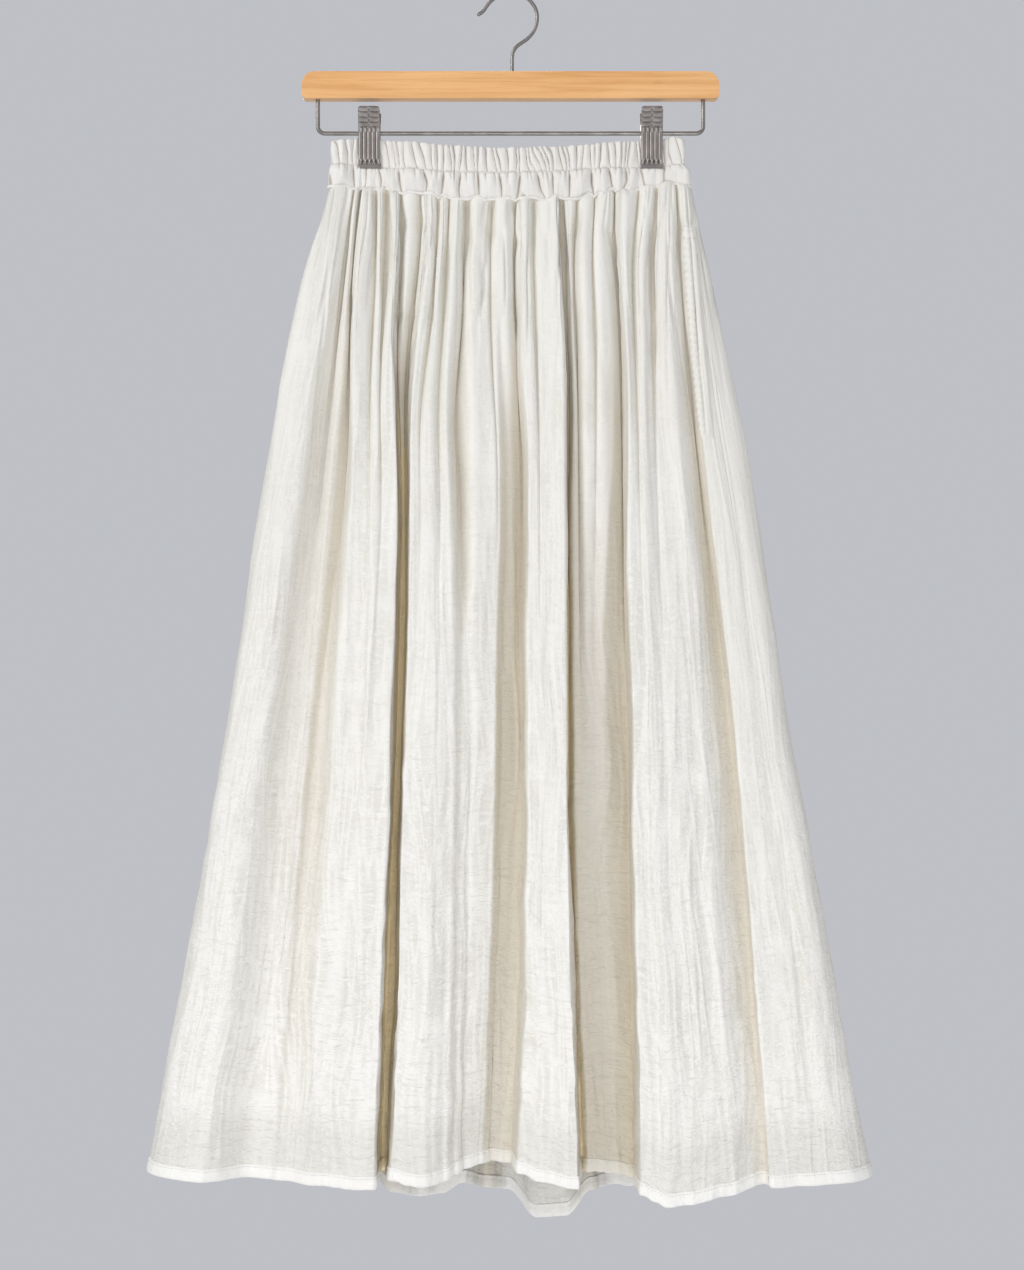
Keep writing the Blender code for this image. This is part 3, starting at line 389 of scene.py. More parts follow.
def grown(value, span):
    """0 up to the start of a span and 1 past its end."""
    start, end = span
    return ease((value - start) / (end - start))


def faded(value, span):
    """1 up to the start of a span and 0 past its end."""
    return 1 - grown(value, span)


def peak(value, width):
    """1 where a value is 0, falling softly to 0 on either side."""
    return np.exp(-((value / width) ** 2))


def values_at(place, along, values):
    """A row for each coordinate of a line, read at one or more places along it."""
    return np.array([np.interp(place, along, column) for column in values.T])


def smooth_rows(values, shares):
    """Monotone cubic through the level values of each column, read at the given shares of the drop."""
    values = np.asarray(values, float)
    steps = np.diff(LEVEL_SHARE)
    slopes = np.diff(values, axis=1) / steps
    inner = np.zeros_like(values)
    inner[:, 0] = slopes[:, 0]
    inner[:, -1] = slopes[:, -1]
    for k in range(1, len(LEVEL_SHARE) - 1):
        before, after = slopes[:, k - 1], slopes[:, k]
        same = before * after > 0
        inner[:, k] = np.where(same, 2 * before * after / np.where(same, before + after, 1.0), 0.0)
    rows = []
    for share in shares:
        k = min(max(int(np.searchsorted(LEVEL_SHARE, share, side="right")) - 1, 0), len(steps) - 1)
        t = (share - LEVEL_SHARE[k]) / steps[k]
        near = (1 + 2 * t) * (1 - t) ** 2
        far = t * t * (3 - 2 * t)
        bend = t * (1 - t) ** 2 * inner[:, k] - t * t * (1 - t) * inner[:, k + 1]
        rows.append(near * values[:, k] + far * values[:, k + 1] + steps[k] * bend)
    return np.array(rows)


def band_height(x, field):
    """A smooth line through one column of the waistband's stations."""
    xs = np.array([station.x for station in BAND_STATIONS], float)
    values = np.array([getattr(station, field) for station in BAND_STATIONS])
    x = np.clip(x, xs[0], xs[-1])
    k = np.clip(np.searchsorted(xs, x, side="right") - 1, 0, len(xs) - 2)
    t = (x - xs[k]) / (xs[k + 1] - xs[k])
    return values[k] + (values[k + 1] - values[k]) * (0.5 * t + 0.5 * ease(t))


def seam_swing(x):
    """How far the waist seam rises over the gathers and dips between them."""
    inside = ease((x - BAND_LEFT) / SEAM_ENDS) * ease((BAND_RIGHT - x) / SEAM_ENDS)
    return (np.abs(ripple_along(SEAM_ARCH, x)) - SEAM_DROP) * inside


def end_round(x, left, right, radius):
    """1 along a flat loop, falling to 0 in a round at either end."""
    over = np.clip(np.maximum(x - (right - radius), (left + radius) - x) / radius, 0.0, 1.0)
    return np.sqrt(1.0 - over**2)


def clip_closeness(x):
    """1 in a clip's jaws and 0 well away from both."""
    away = np.minimum(np.abs(x - CLIP_X[0]), np.abs(x - CLIP_X[1]))
    return 1.0 - ease((away - CLIP_WIDTH * 0.55) / PINCH_FADE)


def band_inside(x):
    """Half the waist opening at x: open between the clips, pinched shut in their jaws."""
    return BAND_OPEN + (BAND_PINCHED - BAND_OPEN) * clip_closeness(x)


def steep(t, power):
    """An S-shaped step whose middle is steeper for a larger power."""
    return t**power / (t**power + (1 - t) ** power)


def wall_between(crest, valley, t, power):
    """x, depth and hem height t of the way down one side of a fold, at every level."""
    depth_share = [puff * t**PUFF_POWER + (1 - puff) * steep(t, power) for puff in PUFF]
    x = [a + (b - a) * t for a, b in zip(crest[0], valley[0])]
    y = [a + (b - a) * s for a, b, s in zip(crest[1], valley[1], depth_share)]
    hem = crest[2] + (valley[2] - crest[2]) * depth_share[-1]
    return x, y, hem


def round_between(side, crest, t):
    """A quarter round from a side's outermost line to the crest beside it."""
    along = 1 - math.cos(math.pi / 2 * t)
    up = math.sin(math.pi / 2 * t)
    x = [a + (b - a) * along for a, b in zip(side[0], crest[0])]
    y = [a + (b - a) * up for a, b in zip(side[1], crest[1])]
    return x, y, side[2] + (crest[2] - side[2]) * along


def crest_of(fold):
    return fold.crest, fold.proud, fold.hem[0]


def valley_of(fold):
    return fold.valley, fold.sunk, fold.hem[1]


def back_folds():
    """The back's table as folds of the same kind, with depths measured behind the middle plane."""
    uneven = random.Random(BACK_SEED)
    span = [(r, l - r) for l, r in zip(LEFT_SIDE, RIGHT_SIDE)]

    def across(waist, hem):
        shares = [waist + (hem - waist) * s for s in LEVEL_SHARE]
        return [r + width * share for (r, width), share in zip(span, shares)]

    folds = []
    for row, after in zip(BACK_FOLDS, BACK_FOLDS[1:] + (None,)):
        next_waist, next_hem = (after.waist, after.hem) if after else (1.0, 1.0)
        crest = across(row.waist, row.hem)
        valley = across((row.waist + next_waist) / 2, (row.hem + next_hem) / 2)
        rise = 1 + uneven.uniform(-BACK_UNEVEN, BACK_UNEVEN)
        proud = [p * (1 + (rise - 1) * s) for p, s in zip(BACK_PROUD, LEVEL_SHARE)]
        sunk = [min(p, q) for p, q in zip(proud, BACK_DEEP if row.deep else BACK_SHALLOW)]
        folds.append(Fold(row.name, crest, valley, proud, sunk, row.ends, BACK_STEEP, BACK_STEEP))
    return folds


def steps_between(crest, valley, pitch):
    """Columns that one side of a fold needs."""
    longest = max(math.hypot(b - a, d - c) for a, b, c, d in zip(crest[0], valley[0], crest[1], valley[1]))
    return max(3, math.ceil(longest / pitch))


def panel_columns(folds, start, finish, pitch):
    """Columns from a start line over every crest and valley to a finish line."""
    columns = []
    if start is not None:
        columns += [round_between(start, crest_of(folds[0]), i / ROUND_STEPS) for i in range(ROUND_STEPS)]
    for k, fold in enumerate(folds):
        crest, valley = crest_of(fold), valley_of(fold)
        if k == len(folds) - 1 and finish is not None:
            columns += [round_between(finish, crest, 1 - i / ROUND_STEPS) for i in range(ROUND_STEPS + 1)]
            break
        count = steps_between(crest, valley, pitch)
        columns += [wall_between(crest, valley, i / count, fold.right) for i in range(count)]
        if k == len(folds) - 1:
            columns.append(valley)
            break
        after = crest_of(folds[k + 1])
        count = steps_between(after, valley, pitch)
        columns += [wall_between(after, valley, 1 - i / count, folds[k + 1].left) for i in range(count)]
    return columns


def signed(columns, side):
    """Depths as y: the front stands towards -Y and the back towards +Y."""
    return [(x, [side * v for v in y], hem) for x, y, hem in columns]


def skirt_columns():
    """The front panel's and the back panel's columns, each from seam to seam, anticlockwise from above."""
    left = (LEFT_SIDE, (0,) * LEVELS, LEFT_SIDE_HEM)
    right = (RIGHT_SIDE, (0,) * LEVELS, RIGHT_SIDE_HEM)
    front = panel_columns(FRONT_FOLDS, left, None, FRONT_PITCH)
    foot, edge = valley_of(FRONT_FOLDS[-1]), crest_of(WRAP_FOLDS[0])
    power = WRAP_FOLDS[0].left
    rise = [wall_between(edge, foot, 1 - i / SEAM_STEPS, power) for i in range(1, SEAM_STEPS)]
    seam = SEAM_STEPS // 2
    front = signed(front + rise[:seam], -1)
    wrap = signed(rise[seam - 1 :] + panel_columns(WRAP_FOLDS, None, right, FRONT_PITCH), -1)
    rear = signed(panel_columns(back_folds(), right, left, BACK_PITCH), 1)
    # The left side seam lies a third of the way round behind the outline
    behind = ROUND_STEPS // 3
    back = wrap[:-1] + rear[:-behind]
    front = rear[-behind - 1 : -1] + front
    return front, back


def panel_grid(columns, shares):
    """Rows of points down a panel, from columns of level values."""
    xs = smooth_rows([c[0] for c in columns], shares)
    ys = smooth_rows([c[1] for c in columns], shares)
    hems = np.array([c[2] for c in columns], float)
    shares = np.asarray(shares)[:, None]
    uneven = 1 + ripple_along(BILLOW, xs)
    full = BILLOW_START + (1 - BILLOW_START) * quarter_round(shares / (BILLOW_END * uneven))
    side = np.where(ys < 0, -1, 1)
    base = side * (band_inside(xs) + BAND_WALL) * end_round(xs, LEFT_SIDE[0], RIGHT_SIDE[0], TOP_END_ROUND)
    ys = base + (ys - base) * full
    top = band_height(np.where(shares < 0.5, xs, xs[0]), "seam")
    zs = top + (hems - top) * shares + seam_swing(xs[0]) * (1 - shares) ** SEAM_ARCH_POWER
    return np.stack([xs, ys, zs], axis=2)


def turned(grid, axis):
    """The mean of the two unit directions at each point of a grid, along one of its axes."""
    step = np.diff(grid, axis=axis)
    step /= np.maximum(np.linalg.norm(step, axis=2, keepdims=True), 1e-9)
    first = np.take(step, [0], axis=axis)
    last = np.take(step, [-1], axis=axis)
    return np.concatenate([first, step], axis=axis) + np.concatenate([step, last], axis=axis)


def normals_of(grid):
    """Outward directions of an anticlockwise grid whose rows run down."""
    normal = np.cross(turned(grid, 0), turned(grid, 1))
    return normal / np.maximum(np.linalg.norm(normal, axis=2, keepdims=True), 1e-9)


def wandered(across, down):
    """The place across the cloth that the long crinkles follow."""
    return across + relief_of(WANDER, across, down)


def waist_creases(across, down):
    """1 along the creases that run down from the gathered waist, fading out below."""
    crease = peak(noise_of(CREASE, wandered(across, down), down), CREASE_SHARPNESS)
    return crease * faded(down, CREASE_FADE)


def swayed(rows, down):
    """Rows of points with the gathers leaning unevenly to either side below the waist seam."""
    x = rows[:, :, 0]
    strength = ease(down / SWAY_START) * faded(down, SWAY_FADE)
    strength = strength * grown(x - LEFT_SIDE[0], SWAY_SIDES) * grown(RIGHT_SIDE[0] - x, SWAY_SIDES)
    moved = rows.copy()
    moved[:, :, 0] += relief_of(SWAY, x, down) * strength
    return moved


def gather_creases(across, down):
    """1 along the short creases that fan out under the waist seam."""
    slanted = across + relief_of(GATHER_WANDER, across, down)
    return peak(noise_of(GATHER_CREASE, slanted, down), GATHER_SHARPNESS) * faded(down, GATHER_FADE)


def crinkles(across, down, width):
    """How far the crinkled gauze stands out of its smooth surface, in millimetres."""
    moved = wandered(across, down)
    height = relief_of(FLUTE, moved, down) + relief_of(BULGE, across, down)
    for ridge in (RIDGE, FINE_RIDGE):
        line = peak(noise_of(ridge, moved, down), RIDGE_SHARPNESS)
        patch = RIDGE_PATCH._replace(seed=RIDGE_PATCH.seed + ridge.seed)
        strength = np.clip(RIDGE_PATCH.height + relief_of(patch, across, down), 0.0, 1.0)
        height = height + ridge.height * line * strength
    lively = WRINKLE_TOP + (1 - WRINKLE_TOP) * grown(down, WRINKLE_GROWTH)
    height = height + lively * relief_of(WRINKLE, moved, down + WRINKLE_SLANT * across)
    height = height * width - CREASE.height * waist_creases(across, down)
    height = height - GATHER_CREASE.height * gather_creases(across, down)
    from_seam = np.minimum(across - across.min(), across.max() - across)
    groove = SEAM_GROOVE_DEPTH * peak(from_seam, SEAM_GROOVE_WIDTH)
    return height * ease(from_seam / SEAM_CALM) * ease(down / TOP_CALM) - groove


def valley_creases(columns, shares):
    """1 along the sharp creases between the gathers, fading out below."""
    depth = np.abs([c[1][1] for c in columns])
    inner = depth[1:-1]
    low = 1 + np.where((inner < depth[:-2]) & (inner <= depth[2:]))[0]
    rows = panel_grid(columns, shares)
    along = np.cumsum(np.linalg.norm(np.diff(rows, axis=1, prepend=rows[:, :1]), axis=2), axis=1)
    away = np.abs(along[:, :, None] - along[:, None, low]).min(axis=2)
    down = np.asarray(shares)[:, None] * PANEL_DROP
    return peak(away, VALLEY_CREASE_WIDTH) * faded(down, VALLEY_FADE)


def cloth_places(columns, shares):
    """Each point's place in the flat cloth, and how far it is drawn together there."""
    hem_row = panel_grid(columns, [1.0])[0]
    across = np.concatenate([[0], np.cumsum(np.linalg.norm(np.diff(hem_row, axis=0), axis=1))])
    rows = panel_grid(columns, shares)
    lengths = np.linalg.norm(np.diff(rows, axis=1), axis=2).sum(axis=1)
    width = np.clip(lengths / across[-1], TIGHTEST, 1.0)[:, None]
    down = np.asarray(shares)[:, None] * PANEL_DROP
    across = np.broadcast_to(across, (len(shares), len(across)))
    return rows, across, np.broadcast_to(down, across.shape), width


def closed_in(rows):
    """How much of the open half circle before each point its row's other points hide, from 0 to 1."""
    hidden = np.zeros(rows.shape[:2])
    for r, row in enumerate(rows):
        for side in (-1, 1):
            picked = np.where(row[:, 1] * side >= 0)[0]
            x, out = row[picked, 0], row[picked, 1] * side
            run = x[None, :] - x[:, None]
            slope = (out[None, :] - out[:, None]) / np.maximum(np.abs(run), NEAREST)
            left = np.where(run < 0, slope, 0.0).max(axis=1)
            right = np.where(run > 0, slope, 0.0).max(axis=1)
            hidden[r, picked] = (np.arctan(left) + np.arctan(right)) / math.pi
    return hidden


def both_closed_in(pair, shares):
    """The same for the front and the back panel together, since the back's edge shows at the front."""
    grids = [panel_grid(columns, shares) for columns in pair]
    hidden = closed_in(np.concatenate(grids, axis=1))
    count = grids[0].shape[1]
    return hidden[:, :count], hidden[:, count:]


def mesh_object(name, vertices, faces, material, smooth=True):
    """An object from points in millimetres and the faces between them."""
    mesh = bpy.data.meshes.new(name)
    mesh.from_pydata((np.asarray(vertices, float) * MM).tolist(), [], faces)
    if smooth:
        mesh.shade_smooth()
    mesh.materials.append(material)
    piece = bpy.data.objects.new(name, mesh)
    bpy.context.scene.collection.objects.link(piece)
    return piece


def grid_faces(index):
    """Four-sided faces between the rows of a grid of vertex numbers."""
    corners = (index[:-1, :-1], index[1:, :-1], index[1:, 1:], index[:-1, 1:])
    return np.stack([c.ravel() for c in corners], axis=1).tolist()


def grid_object(name, grid, material, places=None, deep=None, closed=False):
    """An object on rows of points. places and deep say where the cloth is at each, and how hidden, which its
    material paints on as shade.
    """
    rows, columns = grid.shape[:2]
    index = np.arange(rows * columns).reshape(rows, columns)
    if closed:
        index = np.concatenate([index, index[:1]])
    piece = mesh_object(name, grid.reshape(-1, 3), grid_faces(index), material)
    if places is not None:
        attribute = piece.data.attributes.new("cloth_place", "FLOAT_VECTOR", "POINT")
        attribute.data.foreach_set("vector", places.astype(np.float32).ravel())
        attribute = piece.data.attributes.new("hollow", "FLOAT", "POINT")
        attribute.data.foreach_set("value", deep.astype(np.float32).ravel())
    return piece


def declare(piece, node=None):
    """Attaches a piece to what it rides on, and hides the solid that it stands for."""
    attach(piece, BODY)
    if node:
        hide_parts(node)


def make_panels(pair, material, hem_material):
    """Front and back of the skirt with their hems. Returns the stitch lines of the hem and the pocket."""
    top = TOP_ROWS_SHARE * (np.arange(TOP_ROWS) / TOP_ROWS) ** TOP_ROW_POWER
    foot = 1.0 - HEM_TUCK * HEM_DEPTH / PANEL_DROP
    lower = TOP_ROWS_SHARE + (foot - TOP_ROWS_SHARE) * np.linspace(0.0, 1.0, LOWER_ROWS) ** ROW_POWER
    shares = np.concatenate([top, lower])
    hem_shares = 1.0 - np.array([height for height, _ in HEM_PROFILE]) / PANEL_DROP
    hidden, hem_hidden = both_closed_in(pair, shares), both_closed_in(pair, hem_shares)
    hem_lines = []
    for label, columns, deep, hem_deep in zip(("front", "back"), pair, hidden, hem_hidden):
        rows, across, down, width = cloth_places(columns, shares)
        rows = swayed(rows, down)
        valleys = valley_creases(columns, shares)
        height = crinkles(across, down, width) - VALLEY_CREASE_DEPTH * valleys * ease(down / TOP_CALM)
        grid = rows + normals_of(rows) * height[:, :, None]
        if label == "back":
            pocket_lines = make_pocket_edge(rows, grid, down, material)
        # Painted shade: how hidden each point is, weaker near the waist seam, and the waist and valley
        # creases darken the cloth's colour
        deep = deep * (TOP_SHADE + (1 - TOP_SHADE) * ease(down / SHADE_FULL))
        painted_crease_shade = np.maximum(CREASE_SHADE * waist_creases(across, down), VALLEY_SHADE * valleys)
        places = np.stack([wandered(across, down), down, np.broadcast_to(width**2, down.shape)], axis=2)
        piece = grid_object(f"{label}_cloth", grid, material, places, np.maximum(deep, painted_crease_shade))
        declare(piece, f"{label}_panel")
        hem_lines.append(make_hem(label, columns, hem_shares, hem_deep, hem_material))
    return hem_lines, pocket_lines


def from_pocket_edge(rows):
    """Distance of each point along its row from the fold that the side pocket opens at."""
    steps = np.linalg.norm(np.diff(rows, axis=1, prepend=rows[:, :1]), axis=2)
    along = np.cumsum(steps, axis=1)
    return along - along[:, POCKET_COLUMN : POCKET_COLUMN + 1]


def pocket_relief(across, down):
    """Height of the pocket's turned edge: slanted puckers beside a stitched groove, under two short tacks."""
    along = ease((down - POCKET_TACKS[-1]) / POCKET_GROOVE_START)
    along = along * grown(POCKET_FOOT - down, POCKET_GROOVE_END)
    groove = peak(across - POCKET_STITCH, POCKET_GROOVE_WIDTH) * along
    beside = np.sin(math.pi * np.clip(across / POCKET_STITCH, 0.0, 1.0)) * along
    pucker = np.sin(2 * math.pi * (down + POCKET_SLANT * across) / POCKET_PERIOD) * beside
    arched = down + TACK_ARCH * (across - POCKET_STITCH) ** 2
    tacks = sum(peak(arched - tack, TACK_WIDTH) for tack in POCKET_TACKS)
    return POCKET_PUCKER * pucker - POCKET_GROOVE * np.maximum(groove, tacks)


def make_pocket_edge(rows, grid, down, material):
    """The side pocket's turned edge, on a finer grid than the cloth. Returns its stitch lines."""
    away, normals, cloth_levels = from_pocket_edge(rows), normals_of(grid), down[:, 0]
    steps = np.linspace(0.0, POCKET_WIDTH, POCKET_STEPS)
    levels = np.arange(POCKET_TOP, POCKET_FOOT, POCKET_PITCH)

    def finer(values):
        near = np.array([values_at(steps + POCKET_START, a, row) for a, row in zip(away, values)])
        fine = values_at(levels, cloth_levels, near.reshape(len(near), -1))
        return fine.reshape(3, len(steps), len(levels)).transpose(2, 1, 0)

    across, down = np.meshgrid(steps, levels)
    border = ease(across / POCKET_NEAR_RIM) * ease((POCKET_WIDTH - across) / POCKET_FAR_RIM)
    border = border * ease((down - POCKET_TOP) / POCKET_TOP_RIM) * grown(POCKET_FOOT - down, POCKET_FOOT_RIM)
    height = (POCKET_LIFT + pocket_relief(across, down) + POCKET_TUCK) * border - POCKET_TUCK
    patch = finer(grid) + finer(normals) * height[:, :, None]
    places = np.stack([across, down, np.full_like(across, POCKET_CREPE)], axis=2)
    declare(grid_object("pocket_edge", patch, material, places, np.zeros_like(across)))
    out = normals_of(patch)
    row = int(np.argmin(np.abs(levels - POCKET_TACKS[-1])))
    column = int(np.argmin(np.abs(steps - POCKET_STITCH)))
    return [(patch[row:, column], out[row:, column]), (patch[row], out[row])]


def flat_places(across, down):
    return np.stack([across, down, np.ones_like(across)], axis=2)


def there_and_back(rows):
    """Rows down the outer side and up the inner side, with one row at the foot."""
    return np.concatenate([rows, rows[-2::-1]])


def make_hem(label, columns, shares, deep, material):
    """The turned hem, a flat tube round the panel's lower edge. Returns its stitch line."""
    heights, proud = np.array(HEM_PROFILE).T[:, :, None]
    rows, across, down, width = cloth_places(columns, shares)
    normals = normals_of(rows)
    middle = rows + normals * crinkles(across, down, width)[:, :, None]
    pucker = peak(heights - heights[STITCH_ROW], PUCKER_REACH)
    pucker = pucker * ripple_along(HEM_PUCKER, across + PUCKER_SLANT * heights)
    thickness = (proud + pucker * np.sign(proud))[:, :, None]
    outer = middle + normals * thickness
    inner = middle - normals * thickness
    ring = np.concatenate([outer, inner[-2::-1]])
    places = flat_places(there_and_back(across), there_and_back(down))
    # Painted shade on the hem: deep, how hidden each point is, darkens its colour
    piece = grid_object(f"{label}_hem_roll", ring, material, places, there_and_back(deep), closed=True)
    declare(piece, f"{label}_hem")
    return outer[STITCH_ROW], normals[STITCH_ROW]


def band_line(side):
    """The band's inside line, anticlockwise from above, and its outward directions."""
    step = np.arange(BAND_COLUMNS + 1) / BAND_COLUMNS
    crowded = 0.5 - 0.5 * np.cos(np.pi * step)
    x = BAND_LEFT + (BAND_RIGHT - BAND_LEFT) * (BAND_CROWDING * crowded + (1 - BAND_CROWDING) * step)
    if side > 0:
        x = x[::-1]
    depth = band_inside(x) * end_round(x, BAND_LEFT, BAND_RIGHT, BAND_END_ROUND)
    line = np.stack([x, side * depth], axis=1)
    along = np.concatenate([[0], np.cumsum(np.linalg.norm(np.diff(line, axis=0), axis=1))])
    even = np.linspace(0, along[-1], BAND_COLUMNS + 1)
    line = values_at(even, along, line).T
    tangent = np.gradient(line, axis=0)
    tangent[0], tangent[-1] = (0, side), (0, -side)
    tangent /= np.linalg.norm(tangent, axis=1, keepdims=True)
    outward = np.stack([tangent[:, 1], -tangent[:, 0]], axis=1)
    return line, outward, even


def gather_edges(total, count, seed):
    """Places between which the uneven gathers lie, and how high each is."""
    uneven = np.random.default_rng(seed)
    widths = uneven.uniform(*GATHER_WIDTHS, count)
    edges = np.concatenate([[0], np.cumsum(widths)]) / widths.sum() * total
    return edges, uneven.uniform(*GATHER_HEIGHTS, count)


def gather_arch(place, edges):
    """The gather at each place, and an arch from 0 at its edges to 1 at its middle."""
    k = np.clip(np.searchsorted(edges, place, side="right") - 1, 0, len(edges) - 2)
    t = np.clip((place - edges[k]) / (edges[k + 1] - edges[k]), 0.0, 1.0)
    return k, np.sin(math.pi * t)


def gather_swell(place, edges, heights, sharp):
    """Round gathers with sharp creases between them."""
    k, arch = gather_arch(place, edges)
    return heights[k] * arch**sharp


def gather_groove(place, edges):
    """1 in the creases between gathers and 0 over most of each gather."""
    return (1 - gather_arch(place, edges)[1]) ** GROOVE_POWER


def gathers_under_band(pair, side):
    """x and distance from the middle plane of the skirt's upper edge, on one side of it."""
    edge = np.concatenate([panel_grid(columns, [0.0])[0] for columns in pair])
    edge = edge[edge[:, 1] * side > 0]
    edge = edge[np.argsort(edge[:, 0])]
    return edge[:, 0], edge[:, 1] * side


class Band:
    """One side of the waistband, made row by row. t is a share of the channel's or the casing's height."""

    def __init__(self, label, side, pair):
        self.line, self.outward, self.along = band_line(side)
        x, total = self.line[:, 0], self.along[-1]
        self.gathers = gather_edges(total, BAND_GATHERS, BAND_SEEDS[label])
        puff_heights = gather_edges(total, BAND_GATHERS, PUFF_SEED)[1]
        self.puffs = (self.gathers[0][::GATHERS_PER_PUFF], puff_heights)
        self.near_clip = clip_closeness(x)
        self.ends = ease(np.minimum(self.along, total - self.along) / BAND_ENDS)
        self.calm = self.ends * (1 - CLIP_CALM * self.near_clip)
        skirt_out = np.interp(x, *gathers_under_band(pair, side)) - np.abs(self.line[:, 1]) - BAND_WALL
        self.flare = np.clip(skirt_out, 0.0, None) * self.ends
        self.lean = LEAN + ripple_along(WIDE_LEAN, self.along) + ripple_along(FINE_LEAN, self.along)
        self.top, self.stitch, seam = (band_height(x, field) for field in ("top", "stitch", "seam"))
        self.seam = seam + seam_swing(x)
        edge = gather_swell(self.along + self.lean * CHANNEL_LEAN, *self.gathers, EDGE_SHARP)
        self.scallop = EDGE_SCALLOP * (edge - EDGE_LEVEL) * self.ends
        self.wider = RIGHT_FLARE * ease((x - BAND_RIGHT) / FLARE_REACH + 1)
        self.wider -= LEFT_FLARE * ease((BAND_LEFT - x) / FLARE_REACH + 1)
        self.rows, self.lengths, self.deep = [], [], []

    def channel_place(self, t):
        drift = relief_of(CHANNEL_DRIFT, self.along, t)
        return self.along + self.lean * CHANNEL_LEAN * (1 - 2 * t) + drift

    def casing_place(self, t):
        return self.along - self.lean * CASING_LEAN * t + t * relief_of(CASING_DRIFT, self.along, t)

    def channel_out(self, t):
        """How far the elastic channel stands out of the wall."""
        place = self.channel_place(t)
        swell = CHANNEL_GATHER * gather_swell(place, *self.gathers, GATHER_SHARP)
        return np.interp(t, *CHANNEL_SWELL) * self.calm * (swell + relief_of(CHANNEL_WRINKLE, place, t))

    def casing_out(self, t):
        """How far the lower casing stands out of the wall."""
        place = self.casing_place(t)
        swell = CASING_GATHER * gather_swell(place, *self.gathers, GATHER_SHARP)
        swell = swell * (1 - ease(t / CASING_GATHER_END))
        arc = math.sin(math.pi * (PUFF_ARC[0] + (PUFF_ARC[1] - PUFF_ARC[0]) * t))
        swell = swell + CASING_PUFF * gather_swell(place, *self.puffs, 1.0) * arc
        swell = swell + sum(relief_of(wrinkle, place, t) for wrinkle in CASING_WRINKLES)
        return self.calm * swell * (1 - CASING_DRAWN * ease(t)) + self.flare * ease(t * CASING_FLARE)

    def add(self, height, out, down, groove=0.0, wider=0.0):
        """One more row: its heights, distances from the line, place down the cloth, and the painted shade of
        its grooves.
        """
        row = np.column_stack([self.line + self.outward * (self.along * 0 + out)[:, None], height])
        row[:, 0] += self.wider * wider
        self.rows.append(row)
        self.lengths.append(down)
        self.deep.append(groove * self.ends)

    def add_inside(self):
        swell = gather_swell(self.along, *self.gathers, EDGE_SHARP) * self.ends * (1 - self.near_clip)
        for i in range(INSIDE_ROWS):
            t = 1 - i / INSIDE_ROWS
            height = self.top + (self.seam - self.top) * t - INSIDE_DROP
            self.add(height, swell * INSIDE_SWELL, t * INSIDE_DOWN)

    def add_channel(self):
        """The upper edge and the channel down to its stitched line. Returns that line's row."""
        for turn in EDGE_TURNS:
            rise = EDGE_RISE * math.sin(math.pi * turn) * BAND_WALL
            self.add(self.top + self.scallop + rise, (BAND_WALL + self.channel_out(0.0)) * turn, EDGE_DOWN)
        for i in range(BAND_ROWS + 1):
            t = i / BAND_ROWS
            height = self.top + self.scallop * (1 - t) ** 2 + (self.stitch - self.top) * t
            height = height - EDGE_ROUND * (1 - t) ** EDGE_ROUND_POWER
            groove = gather_groove(self.channel_place(t), self.gathers[0])
            self.add(height, BAND_WALL + self.channel_out(t), t * CHANNEL_DOWN, groove)
        out = BAND_WALL + STITCH_OUT + STITCH_SWELL * self.channel_out(1.0)
        self.add(self.stitch - STITCH_DROP, out, STITCH_DOWN, gather_groove(self.along, self.gathers[0]))
        return len(self.rows) - 1

    def add_casing(self):
        """The lower casing, and the rolled seam that the skirt hangs from."""
        fine_end, puff_full = GROOVE_CHANGE
        for i in range(1, BAND_ROWS + 1):
            t = i / BAND_ROWS
            fine = gather_groove(self.casing_place(t), self.gathers[0]) * (1 - ease(t / fine_end))
            puffs = gather_groove(self.casing_place(t), self.puffs[0]) * ease(t / puff_full)
            height = self.stitch + (self.seam - self.stitch) * t
            down = STITCH_DOWN + (SEAM_DOWN - STITCH_DOWN) * t
            out = BAND_WALL + CASING_OUT + self.casing_out(t)
            self.add(height, out, down, np.maximum(fine, puffs), ease(t / FLARE_END))
        for angle in np.radians((90, 45, 0, -45, -90)):
            out = BAND_WALL + BEAD_OUT + BEAD * math.cos(angle) + BEAD_FLARE * self.flare
            self.add(self.seam - BEAD_DROP + BEAD * math.sin(angle), out, BEAD_DOWN, wider=1.0)
        self.add(self.seam - BEAD_BACK_DROP, BAND_WALL * BEAD_BACK_OUT, BACK_DOWN)


def make_band(label, side, pair, material):
    """One side of the waistband, a closed ring of rows. Returns its stitch line."""
    band = Band(label, side, pair)
    band.add_inside()
    stitch_row = band.add_channel()
    band.add_casing()
    grid = np.array(band.rows)
    down = np.broadcast_to(np.array(band.lengths)[:, None], grid.shape[:2])
    across = np.broadcast_to(band.along * BAND_FULLNESS, grid.shape[:2])
    # deep is the painted shade in the band's grooves
    places, deep = flat_places(across, down), np.array(band.deep)
    piece = grid_object(f"waistband_{label}_casing", grid, material, places, deep, closed=True)
    declare(piece, f"waistband_{label}")
    direction = np.column_stack([band.outward, np.zeros(len(band.outward))])
    return grid[stitch_row], direction


